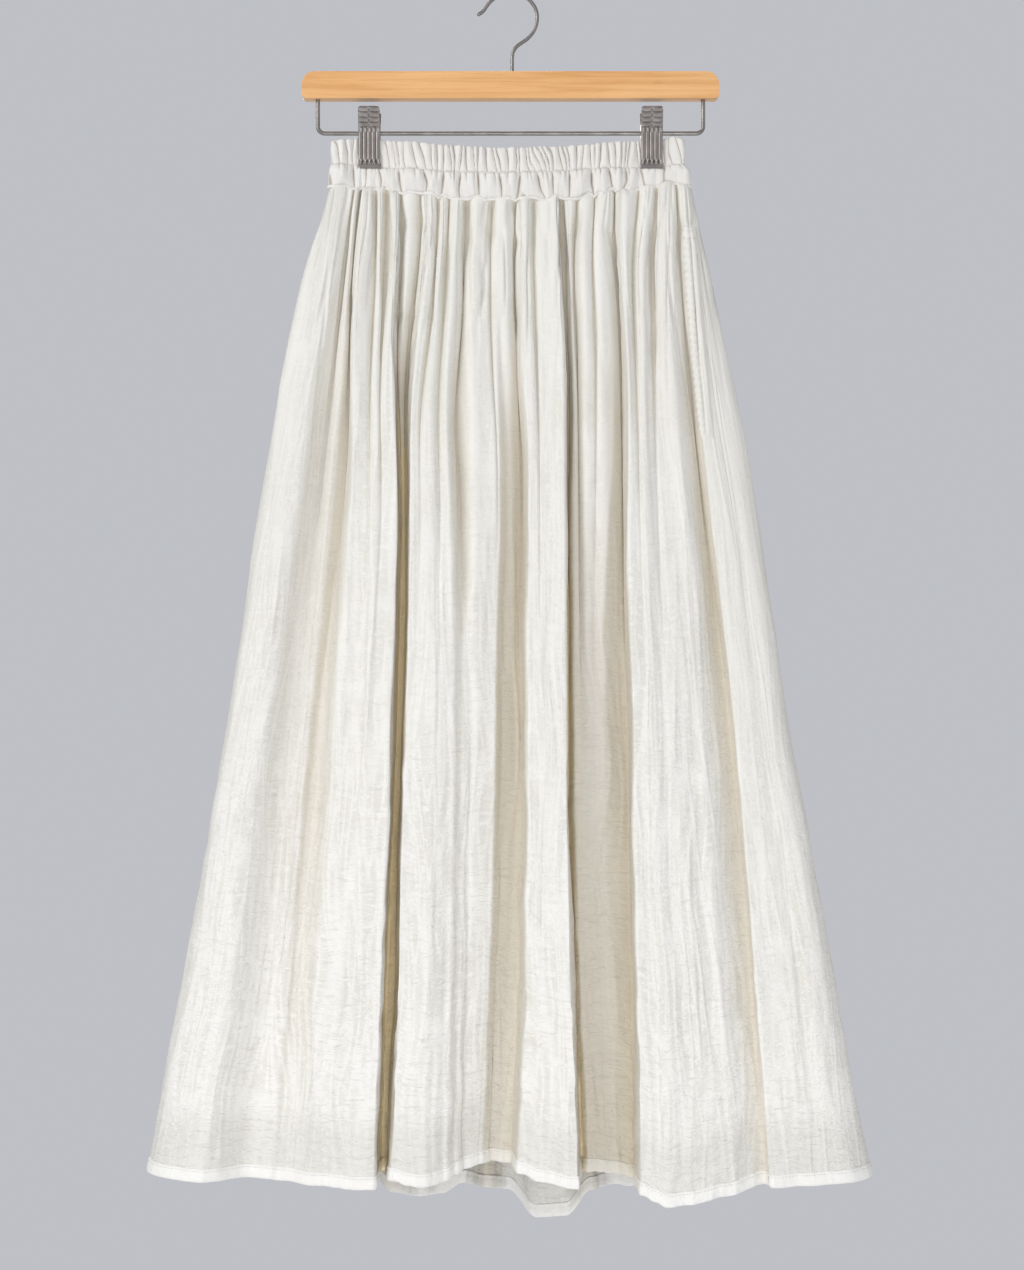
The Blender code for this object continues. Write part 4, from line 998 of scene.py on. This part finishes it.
def make_stitches(name, lines, stitch, material):
    """Small thread stitches, each a slim bead, joined into one mesh along several lines of points."""
    vertices, faces = [], []
    for points, normals in lines:
        steps = np.linalg.norm(np.diff(points, axis=0), axis=1)
        along = np.concatenate([[0], np.cumsum(steps)])
        for start in np.arange(stitch.pitch, along[-1] - stitch.pitch, stitch.pitch):
            tip, tail = (values_at(place, along, points) for place in (start, start + stitch.length))
            normal = values_at(start + stitch.length / 2, along, normals)
            normal /= np.linalg.norm(normal)
            middle = (tip + tail) / 2 + normal * (STITCH_LIFT + stitch.radius)
            way = tail - tip
            side = np.cross(normal, way)
            side /= np.linalg.norm(side)
            base = len(vertices)
            vertices += [tip + normal * STITCH_LIFT, tail + normal * STITCH_LIFT]
            for station in (-STITCH_SHOULDER, STITCH_SHOULDER):
                for a, b in ((1, 0), (0, 1), (-1, 0), (0, -1)):
                    vertices.append(middle + way * station + (side * a + normal * b) * stitch.radius)
            near, far = base + 2, base + 6
            for i in range(4):
                j = (i + 1) % 4
                faces.append((base, near + j, near + i))
                faces.append((near + i, near + j, far + j, far + i))
                faces.append((base + 1, far + i, far + j))
    declare(mesh_object(name, vertices, faces, material))


class Nodes:
    """A short way to write a material's nodes."""

    def __init__(self, name, **settings):
        self.material = bpy.data.materials.new(name)
        self.material.use_nodes = True
        self.tree = self.material.node_tree
        self.shader = self.tree.nodes["Principled BSDF"]
        for socket, value in settings.items():
            self.shader.inputs[socket.replace("_", " ")].default_value = value

    def add(self, kind, **settings):
        node = self.tree.nodes.new(kind)
        for key, value in settings.items():
            setattr(node, key, value)
        return node

    def link(self, source, target):
        self.tree.links.new(source, target)

    def fill(self, socket, value):
        """A number or a colour goes on the socket, and anything else is linked to it."""
        if isinstance(value, (int, float)):
            socket.default_value = value
        elif isinstance(value, tuple):
            socket.default_value = (*value, 1)
        else:
            self.link(value, socket)

    def math(self, operation, *values):
        node = self.add("ShaderNodeMath", operation=operation)
        for socket, value in zip(node.inputs, values):
            self.fill(socket, value)
        return node.outputs[0]

    def scaled(self, vector, scale):
        node = self.add("ShaderNodeVectorMath", operation="MULTIPLY")
        self.link(vector, node.inputs[0])
        node.inputs[1].default_value = scale
        return node.outputs[0]

    def noise(self, vector, detail=2.0, roughness=0.5, distortion=0.0):
        node = self.add("ShaderNodeTexNoise")
        self.link(vector, node.inputs["Vector"])
        node.inputs["Scale"].default_value = 1.0
        node.inputs["Detail"].default_value = detail
        node.inputs["Roughness"].default_value = roughness
        node.inputs["Distortion"].default_value = distortion
        return node.outputs["Fac"]

    def mix(self, factor, first, second):
        node = self.add("ShaderNodeMix", data_type="RGBA")
        for socket, value in zip((node.inputs[0], node.inputs[6], node.inputs[7]), (factor, first, second)):
            self.fill(socket, value)
        return node.outputs[2]

    def range(self, value, low, high, out_low=0.0, out_high=1.0):
        node = self.add("ShaderNodeMapRange", interpolation_type="SMOOTHSTEP")
        self.link(value, node.inputs["Value"])
        limits = {"From Min": low, "From Max": high, "To Min": out_low, "To Max": out_high}
        for socket, number in limits.items():
            node.inputs[socket].default_value = number
        return node.outputs[0]

    def bump(self, heights):
        """Bumps from a list of (height, distance in metres, strength), one on the other."""
        normal = None
        for height, distance, strength in heights:
            node = self.add("ShaderNodeBump")
            node.inputs["Distance"].default_value = distance
            node.inputs["Strength"].default_value = strength
            self.link(height, node.inputs["Height"])
            if normal is not None:
                self.link(normal, node.inputs["Normal"])
            normal = node.outputs["Normal"]
        self.link(normal, self.shader.inputs["Normal"])


# Colours of the cloth: lit, a little warmer, the painted shade in the folds and the stronger painted shade
# deep in them, and how crinkled it is
Cloth = namedtuple("Cloth", "bright warm hollow deep crepe")
GAUZE = Cloth((0.8, 0.785, 0.735), (0.775, 0.755, 0.695), (0.67, 0.62, 0.52), (0.8, 0.69, 0.46), 1.0)
# The hem's colours are lighter than the gauze's: the doubled gauze is whiter, and the lightness is partly
# painted light for the back hem that lies in the front panel's shade
HEM_CLOTH = Cloth((0.89, 0.885, 0.855), (0.88, 0.87, 0.835), (0.8, 0.77, 0.69), (0.8, 0.69, 0.46), 0.45)
BAND_CLOTH = Cloth((0.8, 0.78, 0.745), (0.77, 0.75, 0.715), (0.56, 0.51, 0.45), (0.4, 0.35, 0.29), 0.3)
# Painted highlight along the raised crinkle lines: its colour and how much of it shows
PAINTED_RIDGE_HIGHLIGHT = (0.93, 0.915, 0.88)
RIDGE_HIGHLIGHT_SHARE = 0.75
SLUB_SHADE = 0.93
THREAD_PITCH = 0.95  # millimetres between the gauze's threads
RIDGE_LINES = ((16.0, 150.0), (8.0, 70.0))
# How far each part of the gauze's surface stands out, in metres
WRINKLE_BUMP = 0.00085
CRUMPLE_BUMP = 0.0007
RIDGE_BUMP = 0.0005
CREPE_BUMP = 0.0002
GRAIN_BUMP = 0.00012
WEAVE_BUMP = 0.00004
# Painted shade above the hem, where the shadowed inside of the skirt shows through one layer of gauze: how
# dark, and from millimetres down to millimetres down
HEM_SHADE = 0.86
HEM_SHADE_START = (758, 800)
HEM_SHADE_END = (822, 818)


def cloth_material(name, cloth):
    """Off-white double gauze: crepe wrinkles, slubs and an open weave, with warm painted shade deep in the
    folds, painted shade above the hem and a painted highlight on its raised crinkle lines.

    cloth_place holds the place across and down the cloth, and how far the crepe may stand out there.
    """
    m = Nodes(name, Roughness=0.93, Sheen_Weight=0.18, Sheen_Roughness=0.5)
    place = m.add("ShaderNodeAttribute", attribute_name="cloth_place").outputs["Vector"]
    hollow = m.add("ShaderNodeAttribute", attribute_name="hollow").outputs["Fac"]
    split = m.add("ShaderNodeSeparateXYZ")
    m.link(place, split.inputs[0])
    down, crinkled = split.outputs["Y"], split.outputs["Z"]

    def noise(across, down, **settings):
        """Noise with one bump for these millimetres across and down the cloth."""
        return m.noise(m.scaled(place, (1 / across, 1 / down, 0)), **settings)

    def lines_of(bend, width):
        """1 along the lines where a noise passes through its middle value."""
        return m.range(m.math("ABSOLUTE", m.math("SUBTRACT", bend, 0.5)), 0.0, width, 1.0, 0.0)

    wrinkle = noise(13, 4.6, detail=1.0, distortion=0.8)
    crumple = noise(5.5, 5.0, detail=1.0, distortion=0.8)
    ridges = [lines_of(noise(*spacing, detail=0.0), 0.13) for spacing in RIDGE_LINES]
    crepe_line = lines_of(noise(17, 6.0, detail=1.0, distortion=1.2), 0.06)
    turns = [m.math("MULTIPLY", split.outputs[axis], 2 * math.pi / THREAD_PITCH) for axis in ("X", "Y")]
    weave = m.math("MAXIMUM", *[m.math("SINE", turn) for turn in turns])
    heights = (wrinkle, crumple, ridges[0], crepe_line)
    reliefs = zip(heights, (WRINKLE_BUMP, CRUMPLE_BUMP, RIDGE_BUMP, CREPE_BUMP))
    bumps = [(m.math("MULTIPLY", height, crinkled), far * cloth.crepe, 1.0) for height, far in reliefs]
    m.bump(bumps + [(noise(1.1, 1.1), GRAIN_BUMP, 1.0), (weave, WEAVE_BUMP, 1.0)])

    colour = m.mix(m.range(noise(70, 110), 0.35, 0.65), cloth.bright, cloth.warm)
    slub = m.range(noise(1.6, 45.0), 0.45, 0.75, 0.0, 0.25)
    colour = m.mix(slub, colour, tuple(c * SLUB_SHADE for c in cloth.warm))
    # Painted highlight on the raised ridges and crepe lines
    ridge_highlight = m.math("MAXIMUM", m.math("MAXIMUM", *ridges), crepe_line)
    ridge_highlight = m.math("MULTIPLY", ridge_highlight, m.math("MULTIPLY", crinkled, RIDGE_HIGHLIGHT_SHARE * cloth.crepe))
    colour = m.mix(ridge_highlight, colour, PAINTED_RIDGE_HIGHLIGHT)
    # Painted shade above the hem
    painted_shade_above_hem = m.math("MULTIPLY", m.range(down, *HEM_SHADE_START), m.range(down, *HEM_SHADE_END))
    colour = m.mix(m.math("MULTIPLY", painted_shade_above_hem, 0.5), colour, tuple(c * HEM_SHADE for c in cloth.bright))
    # Painted shade: a warm tint where other cloth hides the surface, and a stronger one deep in the folds
    colour = m.mix(m.range(hollow, 0.2, 0.7), colour, cloth.hollow)
    colour = m.mix(m.range(hollow, 0.6, 0.95), colour, cloth.deep)
    m.link(colour, m.shader.inputs["Base Color"])
    return m.material


def thread_material():
    m = Nodes("sewing_thread", Roughness=0.6, Sheen_Weight=0.2)
    where = m.add("ShaderNodeNewGeometry").outputs["Position"]
    twist = m.noise(m.scaled(where, (900, 900, 900)), detail=2.0)
    m.link(m.mix(twist, (0.86, 0.84, 0.79), (0.76, 0.735, 0.68)), m.shader.inputs["Base Color"])
    m.bump(((twist, 0.0002, 0.5),))
    return m.material


def wood_material():
    """Clear-lacquered pale orange hardwood with long grain."""
    m = Nodes("bar_wood", Coat_Weight=0.35, Coat_Roughness=0.25)
    where = m.add("ShaderNodeNewGeometry").outputs["Position"]
    long_grain = m.noise(m.scaled(where, (7.0, 160.0, 230.0)), detail=5.0, roughness=0.6, distortion=0.4)
    pores = m.noise(m.scaled(where, (60.0, 1400.0, 1600.0)), detail=2.0)
    cloud = m.noise(m.scaled(where, (9.0, 25.0, 30.0)), detail=2.0)
    colour = m.mix(m.range(long_grain, 0.35, 0.68), (0.84, 0.47, 0.195), (0.68, 0.335, 0.11))
    colour = m.mix(m.range(cloud, 0.3, 0.7, 0.0, 0.35), colour, (0.89, 0.54, 0.25))
    colour = m.mix(m.range(pores, 0.62, 0.72, 0.0, 0.35), colour, (0.42, 0.19, 0.06))
    m.link(colour, m.shader.inputs["Base Color"])
    m.link(m.range(long_grain, 0.3, 0.7, 0.38, 0.5), m.shader.inputs["Roughness"])
    m.bump(((long_grain, 0.0003, 0.25), (pores, 0.0002, 0.2)))
    return m.material


def steel_material(name, colour, worn, rough, scale):
    """Metal with faint wear: brighter and smoother here and there."""
    m = Nodes(name, Metallic=1.0)
    where = m.add("ShaderNodeNewGeometry").outputs["Position"]
    cloud = m.noise(m.scaled(where, (scale, scale, scale)), detail=3.0)
    speck = m.noise(m.scaled(where, (scale * 9, scale * 9, scale * 9)), detail=2.0)
    m.link(m.mix(m.range(cloud, 0.4, 0.7), colour, worn), m.shader.inputs["Base Color"])
    m.link(m.range(speck, 0.3, 0.7, rough * 0.85, rough * 1.2), m.shader.inputs["Roughness"])
    m.bump(((speck, 0.0001, 0.25),))
    return m.material


# Hook and rail of bent wire
HOOK_TIP_TO_STEM = (
    (-27.2, 0, -16.6),
    (-23.2, 0, -13.6),
    (-19.8, 0, -8.8),
    (-15.4, 0, -4.0),
    (-8.5, 0, 0.2),
    (0.8, 0, 1.6),
    (9.6, 0, -0.1),
    (16.4, 0, -4.6),
    (21.2, 0, -11.4),
    (22.8, 0, -19.8),
    (20.7, 0, -29.1),
    (15.5, 0, -36.3),
    (10.3, 0, -40.2),
    (5.1, 0, -44.1),
    (2.1, 0, -48.9),
    (1.4, 0, -54.5),
    (1.4, 0, -61.0),
    (1.4, 0, -74.5),
)
HOOK_WIRE = 3.2
RAIL_WIRE = 3.6
RAIL_HALF = 164.3
RAIL_Z = -118.1
RAIL_TOP = -81.5
RAIL_CORNER = 6.0


def smooth_path(anchors, per_span):
    """Points on a Catmull-Rom curve through the anchors."""
    anchors = [np.array(a, float) for a in anchors]
    padded = [2 * anchors[0] - anchors[1], *anchors, 2 * anchors[-1] - anchors[-2]]
    points = []
    for a, b, c, d in zip(padded, padded[1:], padded[2:], padded[3:]):
        for i in range(per_span):
            t = i / per_span
            points.append(
                0.5 * (2 * b + (c - a) * t + (2 * a - 5 * b + 4 * c - d) * t**2
                       + (3 * b - a - 3 * c + d) * t**3)
            )
    points.append(anchors[-1])
    return np.array(points)


def make_wire(name, points, wire, material, node):
    """A round wire in the plane y = 0, with rounded ends."""
    sides = 20
    tangent = np.gradient(points, axis=0)
    tangent /= np.linalg.norm(tangent, axis=1, keepdims=True)
    aside = np.array((0.0, 1.0, 0.0))
    up = np.cross(tangent, aside)
    radius = wire / 2
    rounding = ((0.0, 0.02), (0.25, 0.55), (0.6, 0.88), (1.0, 1.0))
    stations = [(0, -radius * (1 - a), b) for a, b in rounding]
    stations += [(k, 0.0, 1.0) for k in range(1, len(points) - 1)]
    stations += [(len(points) - 1, radius * (1 - a), b) for a, b in reversed(rounding)]
    angles = np.linspace(0, 2 * math.pi, sides + 1)
    rows = []
    for k, shift, size in stations:
        centre = points[k] + tangent[k] * shift
        ring = np.outer(np.cos(angles), up[k]) + np.outer(np.sin(angles), aside)
        rows.append(centre + ring * radius * size)
    declare(grid_object(name, np.array(rows), material), node)


def rail_path():
    """Down the left upright, round two corners and up the right one."""
    turn_steps, upright_points = 8, 8
    quarter = np.radians(np.linspace(0, 90, turn_steps + 1))
    corner_z = RAIL_Z + RAIL_CORNER
    upright = np.linspace(RAIL_TOP, corner_z, upright_points)
    half = [(RAIL_HALF, z) for z in upright]
    for angle in quarter[1:]:
        x = RAIL_HALF - RAIL_CORNER + RAIL_CORNER * math.cos(angle)
        half.append((x, corner_z - RAIL_CORNER * math.sin(angle)))
    return np.array([(-x, 0, z) for x, z in half] + [(x, 0, z) for x, z in reversed(half)])


# Clip jaws: heights of the pressed details on a plate
CLIP_TOP_Z = -97.5
CLIP_FOOT_Z = -149.0
GRIP = 2.8
JAW_WALL = 1.0
LIP_WIDTH = 20.0
LIP_TOP = -144.4
LIP_BLEND = 0.8
SCALLOP_FOOT = -114.5  # scallops above, flutes below
SCALLOP_MARGIN = 0.8
SCALLOP_ROWS = 4
SCALLOP = 1.35
FLUTE_COUNT = 4
FLUTE_RISE = 0.85
FLUTE_HOLE = 1.5
FLUTE_HOLE_SIZE = (0.65, 0.8)
JAW_CORNER = 2.0
JAW_CORNER_DROP = 1.6
JAW_CORNER_REACH = 4.0
JAW_SHARP_ANGLE = 55
JAW_PROFILE = (
    (CLIP_FOOT_Z, GRIP + 0.6),
    (CLIP_FOOT_Z + 1.4, GRIP),
    (CLIP_FOOT_Z + 5.0, GRIP),
    (CLIP_FOOT_Z + 7.5, GRIP + 1.3),
    (RAIL_Z, GRIP + 1.9),
    (CLIP_TOP_Z - 15.0, GRIP + 3.4),
    (CLIP_TOP_Z, GRIP + 9.0),
)


def jaw_relief(x, z):
    """How far a plate's pressed pattern stands out at x across it and height z."""
    half = CLIP_WIDTH / 2
    share = (x + half) / CLIP_WIDTH
    # Scallops in two columns
    column = np.abs(np.sin(2 * math.pi * share)) ** 0.5
    top = CLIP_TOP_Z - SCALLOP_MARGIN
    step = ((top - z) / ((top - SCALLOP_FOOT) / SCALLOP_ROWS)) % 1.0
    scallop = SCALLOP * column * np.sqrt(step) * (step < 0.93) + 0.1
    # Upright flutes with a dark hole at the foot of each
    count = FLUTE_COUNT + 1
    flute = FLUTE_RISE * np.abs(np.sin(math.pi * (share * count))) ** 0.45
    hole_at = (np.round(share * count) / count - share) * CLIP_WIDTH
    between = (share > 0.5 / count) & (share < 1 - 0.5 / count)
    hole = peak(hole_at, FLUTE_HOLE_SIZE[0]) * peak(z - LIP_TOP - 1.2, FLUTE_HOLE_SIZE[1]) * between
    flute = flute - FLUTE_HOLE * hole
    upper = ease((z - SCALLOP_FOOT) / 0.5)
    relief = flute * (1 - upper) + scallop * upper
    # A plain rounded lip under a groove
    lip = 0.75 - 0.5 * np.abs(((z - CLIP_FOOT_Z) / (LIP_TOP - CLIP_FOOT_Z)) * 2 - 1) ** 4
    low = ease((LIP_TOP - z) / 0.35)
    relief = relief * (1 - low) + lip * low - 0.35 * peak(z - LIP_TOP, 0.35)
    edge = np.clip((half - np.abs(x)) / 0.7, 0.0, 1.0)
    return relief * (0.25 + 0.75 * np.sqrt(edge))


def make_plate(name, middle, side, material, node):
    """One stamped jaw with its pressed pattern and its side flanges."""
    xs = np.linspace(-CLIP_WIDTH / 2, CLIP_WIDTH / 2, 61)
    zs = np.linspace(CLIP_TOP_Z, CLIP_FOOT_Z, 121)
    profile_z, profile_away = np.array(JAW_PROFILE).T
    away = np.interp(zs, profile_z, profile_away)[:, None]
    lip = LIP_WIDTH / CLIP_WIDTH
    widen = np.interp(zs, (CLIP_FOOT_Z, LIP_TOP, LIP_TOP + LIP_BLEND), (lip, lip, 1.0))[:, None]
    x, z = np.meshgrid(xs, zs)
    outer = away + JAW_WALL + jaw_relief(x, z)
    # The top corners are round
    corner = np.clip((np.abs(x) - CLIP_WIDTH / 2 + JAW_CORNER) / JAW_CORNER, 0, 1)
    z = z - JAW_CORNER_DROP * corner**2 * ease((z - CLIP_TOP_Z + JAW_CORNER_REACH) / JAW_CORNER_REACH)
    front = np.stack([middle + x * widen, side * outer, z], axis=2)
    rear = np.stack([middle + x * widen, side * np.broadcast_to(away, x.shape), z], axis=2)
    index = np.arange(x.size).reshape(x.shape)
    faces = grid_faces(index) + [face[::-1] for face in grid_faces(index + x.size)]
    rim = np.concatenate([index[0, :-1], index[:-1, -1], index[-1, :0:-1], index[:0:-1, 0]])
    faces += [(a, b, b + x.size, a + x.size) for a, b in zip(rim.tolist(), np.roll(rim, -1).tolist())]
    piece = mesh_object(name, np.concatenate([front, rear]).reshape(-1, 3), faces, material)
    piece.data.set_sharp_from_angle(angle=math.radians(JAW_SHARP_ANGLE))
    for label, flank in (("left", -1), ("right", 1)):
        make_flange(f"{name}_flange_{label}", middle, side, flank, material).parent = piece
    declare(piece, node)


def make_flange(name, middle, side, flank, material):
    """A rounded ear at the side of a jaw, round the rail."""
    thickness, inset, least, bevel_width = 0.9, 0.05, 0.15, 0.15
    x_out = middle + flank * (CLIP_WIDTH / 2 - inset)
    notch = RAIL_WIRE / 2 + 0.3
    outline = [(GRIP + 2.6, RAIL_Z - 5.5), (1.4, RAIL_Z - 4.5), (least, RAIL_Z - 3.2)]
    for angle in np.radians(np.linspace(-90, 90, 13)):
        outline.append((max(least, notch * math.cos(angle)), RAIL_Z + notch * math.sin(angle)))
    outline += [(least, RAIL_Z + 4.6), (1.2, RAIL_Z + 6.6), (GRIP + 3.2, RAIL_Z + 8.5)]
    count = len(outline)
    points = [(x, side * a, z) for x in (x_out, x_out - flank * thickness) for a, z in outline]
    faces = [tuple(range(count)), tuple(range(2 * count - 1, count - 1, -1))]
    for i in range(count):
        j = (i + 1) % count
        faces.append((i, count + i, count + j, j))
    flange = mesh_object(name, points, faces, material, smooth=False)
    bevel = flange.modifiers.new("soft edge", "BEVEL")
    bevel.width = bevel_width * MM
    bevel.segments = 2
    return flange


def make_coil(name, middle, material, node):
    """The clip's spring: turns of fine wire round the rail."""
    turns, wire, radius, width = 9, 0.95, 3.6, 7.5
    count = turns * 24
    angle = np.linspace(0, 2 * math.pi * turns, count + 1)
    x = middle - width / 2 + width * np.arange(count + 1) / count
    centre = np.stack([x, radius * np.cos(angle), RAIL_Z + radius * np.sin(angle)], axis=1)
    out = np.stack([np.zeros_like(x), np.cos(angle), np.sin(angle)], axis=1)
    along = np.array((1.0, 0.0, 0.0))
    around = np.linspace(0, 2 * math.pi, 9)
    rows = [c + (np.outer(np.cos(around), o) + np.outer(np.sin(around), along)) * wire / 2
            for c, o in zip(centre, out)]
    declare(grid_object(name, np.array(rows), material), node)


def make_hanger():
    """Bar, hook, rail and both clips."""
    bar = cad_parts["hanger_bar"]
    bar.data.materials.clear()
    bar.data.materials.append(wood_material())
    wire = steel_material("wire_steel", (0.27, 0.255, 0.24), (0.35, 0.33, 0.31), 0.4, 60.0)
    clip = steel_material("clip_nickel", (0.3, 0.275, 0.26), (0.38, 0.35, 0.335), 0.42, 90.0)
    make_wire("hook_wire_bent", smooth_path(HOOK_TIP_TO_STEM, 8), HOOK_WIRE, wire, "hook")
    make_wire("rail_wire_bent", rail_path(), RAIL_WIRE, wire, "hanger_rail")
    for label, middle in zip(("left", "right"), CLIP_X):
        for place, side in (("front", -1), ("back", 1)):
            make_plate(f"clip_{label}_{place}_plate", middle, side, clip, f"clip_{label}_{place}_jaw")
        make_coil(f"clip_{label}_coil", middle, clip, f"clip_{label}_spring")


# Camera and light, in metres
CAMERA_PLACE = (0.0013, -2.0, -0.5459)
SENSOR = 36.0
LENS = 66.46
BACKGROUND = (0.515, 0.527, 0.558)
FLOOR_Z = -2.4
FLOOR_RADIUS = 2.7
FLOOR_SIDES = 64
FLOOR_COLOURS = ((0.55, 0.56, 0.59), (0.58, 0.59, 0.62))
SKIRT_MIDDLE = (0, 0, -0.55)
Lamp = namedtuple("Lamp", "name place aim size power colour")
LAMPS = (
    Lamp("key", (-2.1, -1.8, 0.8), SKIRT_MIDDLE, 1.2, 36, (1.0, 0.985, 0.955)),
    Lamp("front", (0.2, -2.8, -1.8), (0, 0, -0.75), 1.0, 27, (1.0, 0.98, 0.95)),
    Lamp("low", (0.1, -1.4, -1.8), (0, 0.05, -1.0), 0.5, 1.8, (1.0, 0.97, 0.93)),
    Lamp("fill", (2.2, -1.7, 0.1), SKIRT_MIDDLE, 1.3, 4, (1.0, 0.98, 0.95)),
    Lamp("rear", (-0.6, 2.3, 0.8), SKIRT_MIDDLE, 1.4, 28, (1.0, 0.98, 0.95)),
)


def make_camera():
    camera = bpy.data.objects.new("camera", bpy.data.cameras.new("camera"))
    camera.data.sensor_width = SENSOR
    camera.data.lens = LENS
    camera.data.clip_end = 20
    camera.location = CAMERA_PLACE
    camera.rotation_euler = (math.radians(90), 0, 0)
    bpy.context.scene.collection.objects.link(camera)
    bpy.context.scene.camera = camera


def area_light(lamp):
    light = bpy.data.objects.new(lamp.name, bpy.data.lights.new(lamp.name, "AREA"))
    light.data.size = lamp.size
    light.data.energy = lamp.power
    light.data.color = lamp.colour
    light.location = lamp.place
    direction = Vector(lamp.aim) - Vector(lamp.place)
    light.rotation_euler = direction.to_track_quat("-Z", "Y").to_euler()
    bpy.context.scene.collection.objects.link(light)


def make_studio():
    """A pale floor well below, an even grey surround and soft lamps."""
    m = Nodes("floor", Roughness=0.8)
    where = m.add("ShaderNodeNewGeometry").outputs["Position"]
    soft = m.noise(m.scaled(where, (3.0, 3.0, 3.0)), detail=2.0)
    m.link(m.mix(soft, *FLOOR_COLOURS), m.shader.inputs["Base Color"])
    angles = np.linspace(0, 2 * math.pi, FLOOR_SIDES + 1)[:-1]
    points = [(FLOOR_RADIUS * math.cos(a), FLOOR_RADIUS * math.sin(a), FLOOR_Z) for a in angles]
    floor = mesh_object("floor", np.array(points) / MM, [tuple(range(FLOOR_SIDES))], m.material, smooth=False)
    world = bpy.data.worlds.new("studio")
    world.use_nodes = True
    world.node_tree.nodes["Background"].inputs["Color"].default_value = (*BACKGROUND, 1)
    world.node_tree.nodes["Background"].inputs["Strength"].default_value = 1.0
    bpy.context.scene.world = world
    for lamp in LAMPS:
        area_light(lamp)
    bpy.context.scene.view_settings.view_transform = "Standard"
    bpy.context.scene.view_settings.look = "None"


def main():
    gauze = cloth_material("cotton_gauze", GAUZE)
    hem_cloth = cloth_material("turned_hem", HEM_CLOTH)
    band_cloth = cloth_material("elastic_band", BAND_CLOTH)
    thread = thread_material()
    pair = skirt_columns()
    hem_lines, pocket_lines = make_panels(pair, gauze, hem_cloth)
    band_lines = [make_band(label, side, pair, band_cloth) for label, side in (("front", -1), ("back", 1))]
    make_stitches("hem_stitching", hem_lines, HEM_STITCH, thread)
    make_stitches("waist_stitching", band_lines, WAIST_STITCH, thread)
    make_stitches("pocket_stitching", pocket_lines, POCKET_EDGE_STITCH, thread)
    make_hanger()
    make_camera()
    make_studio()


main()
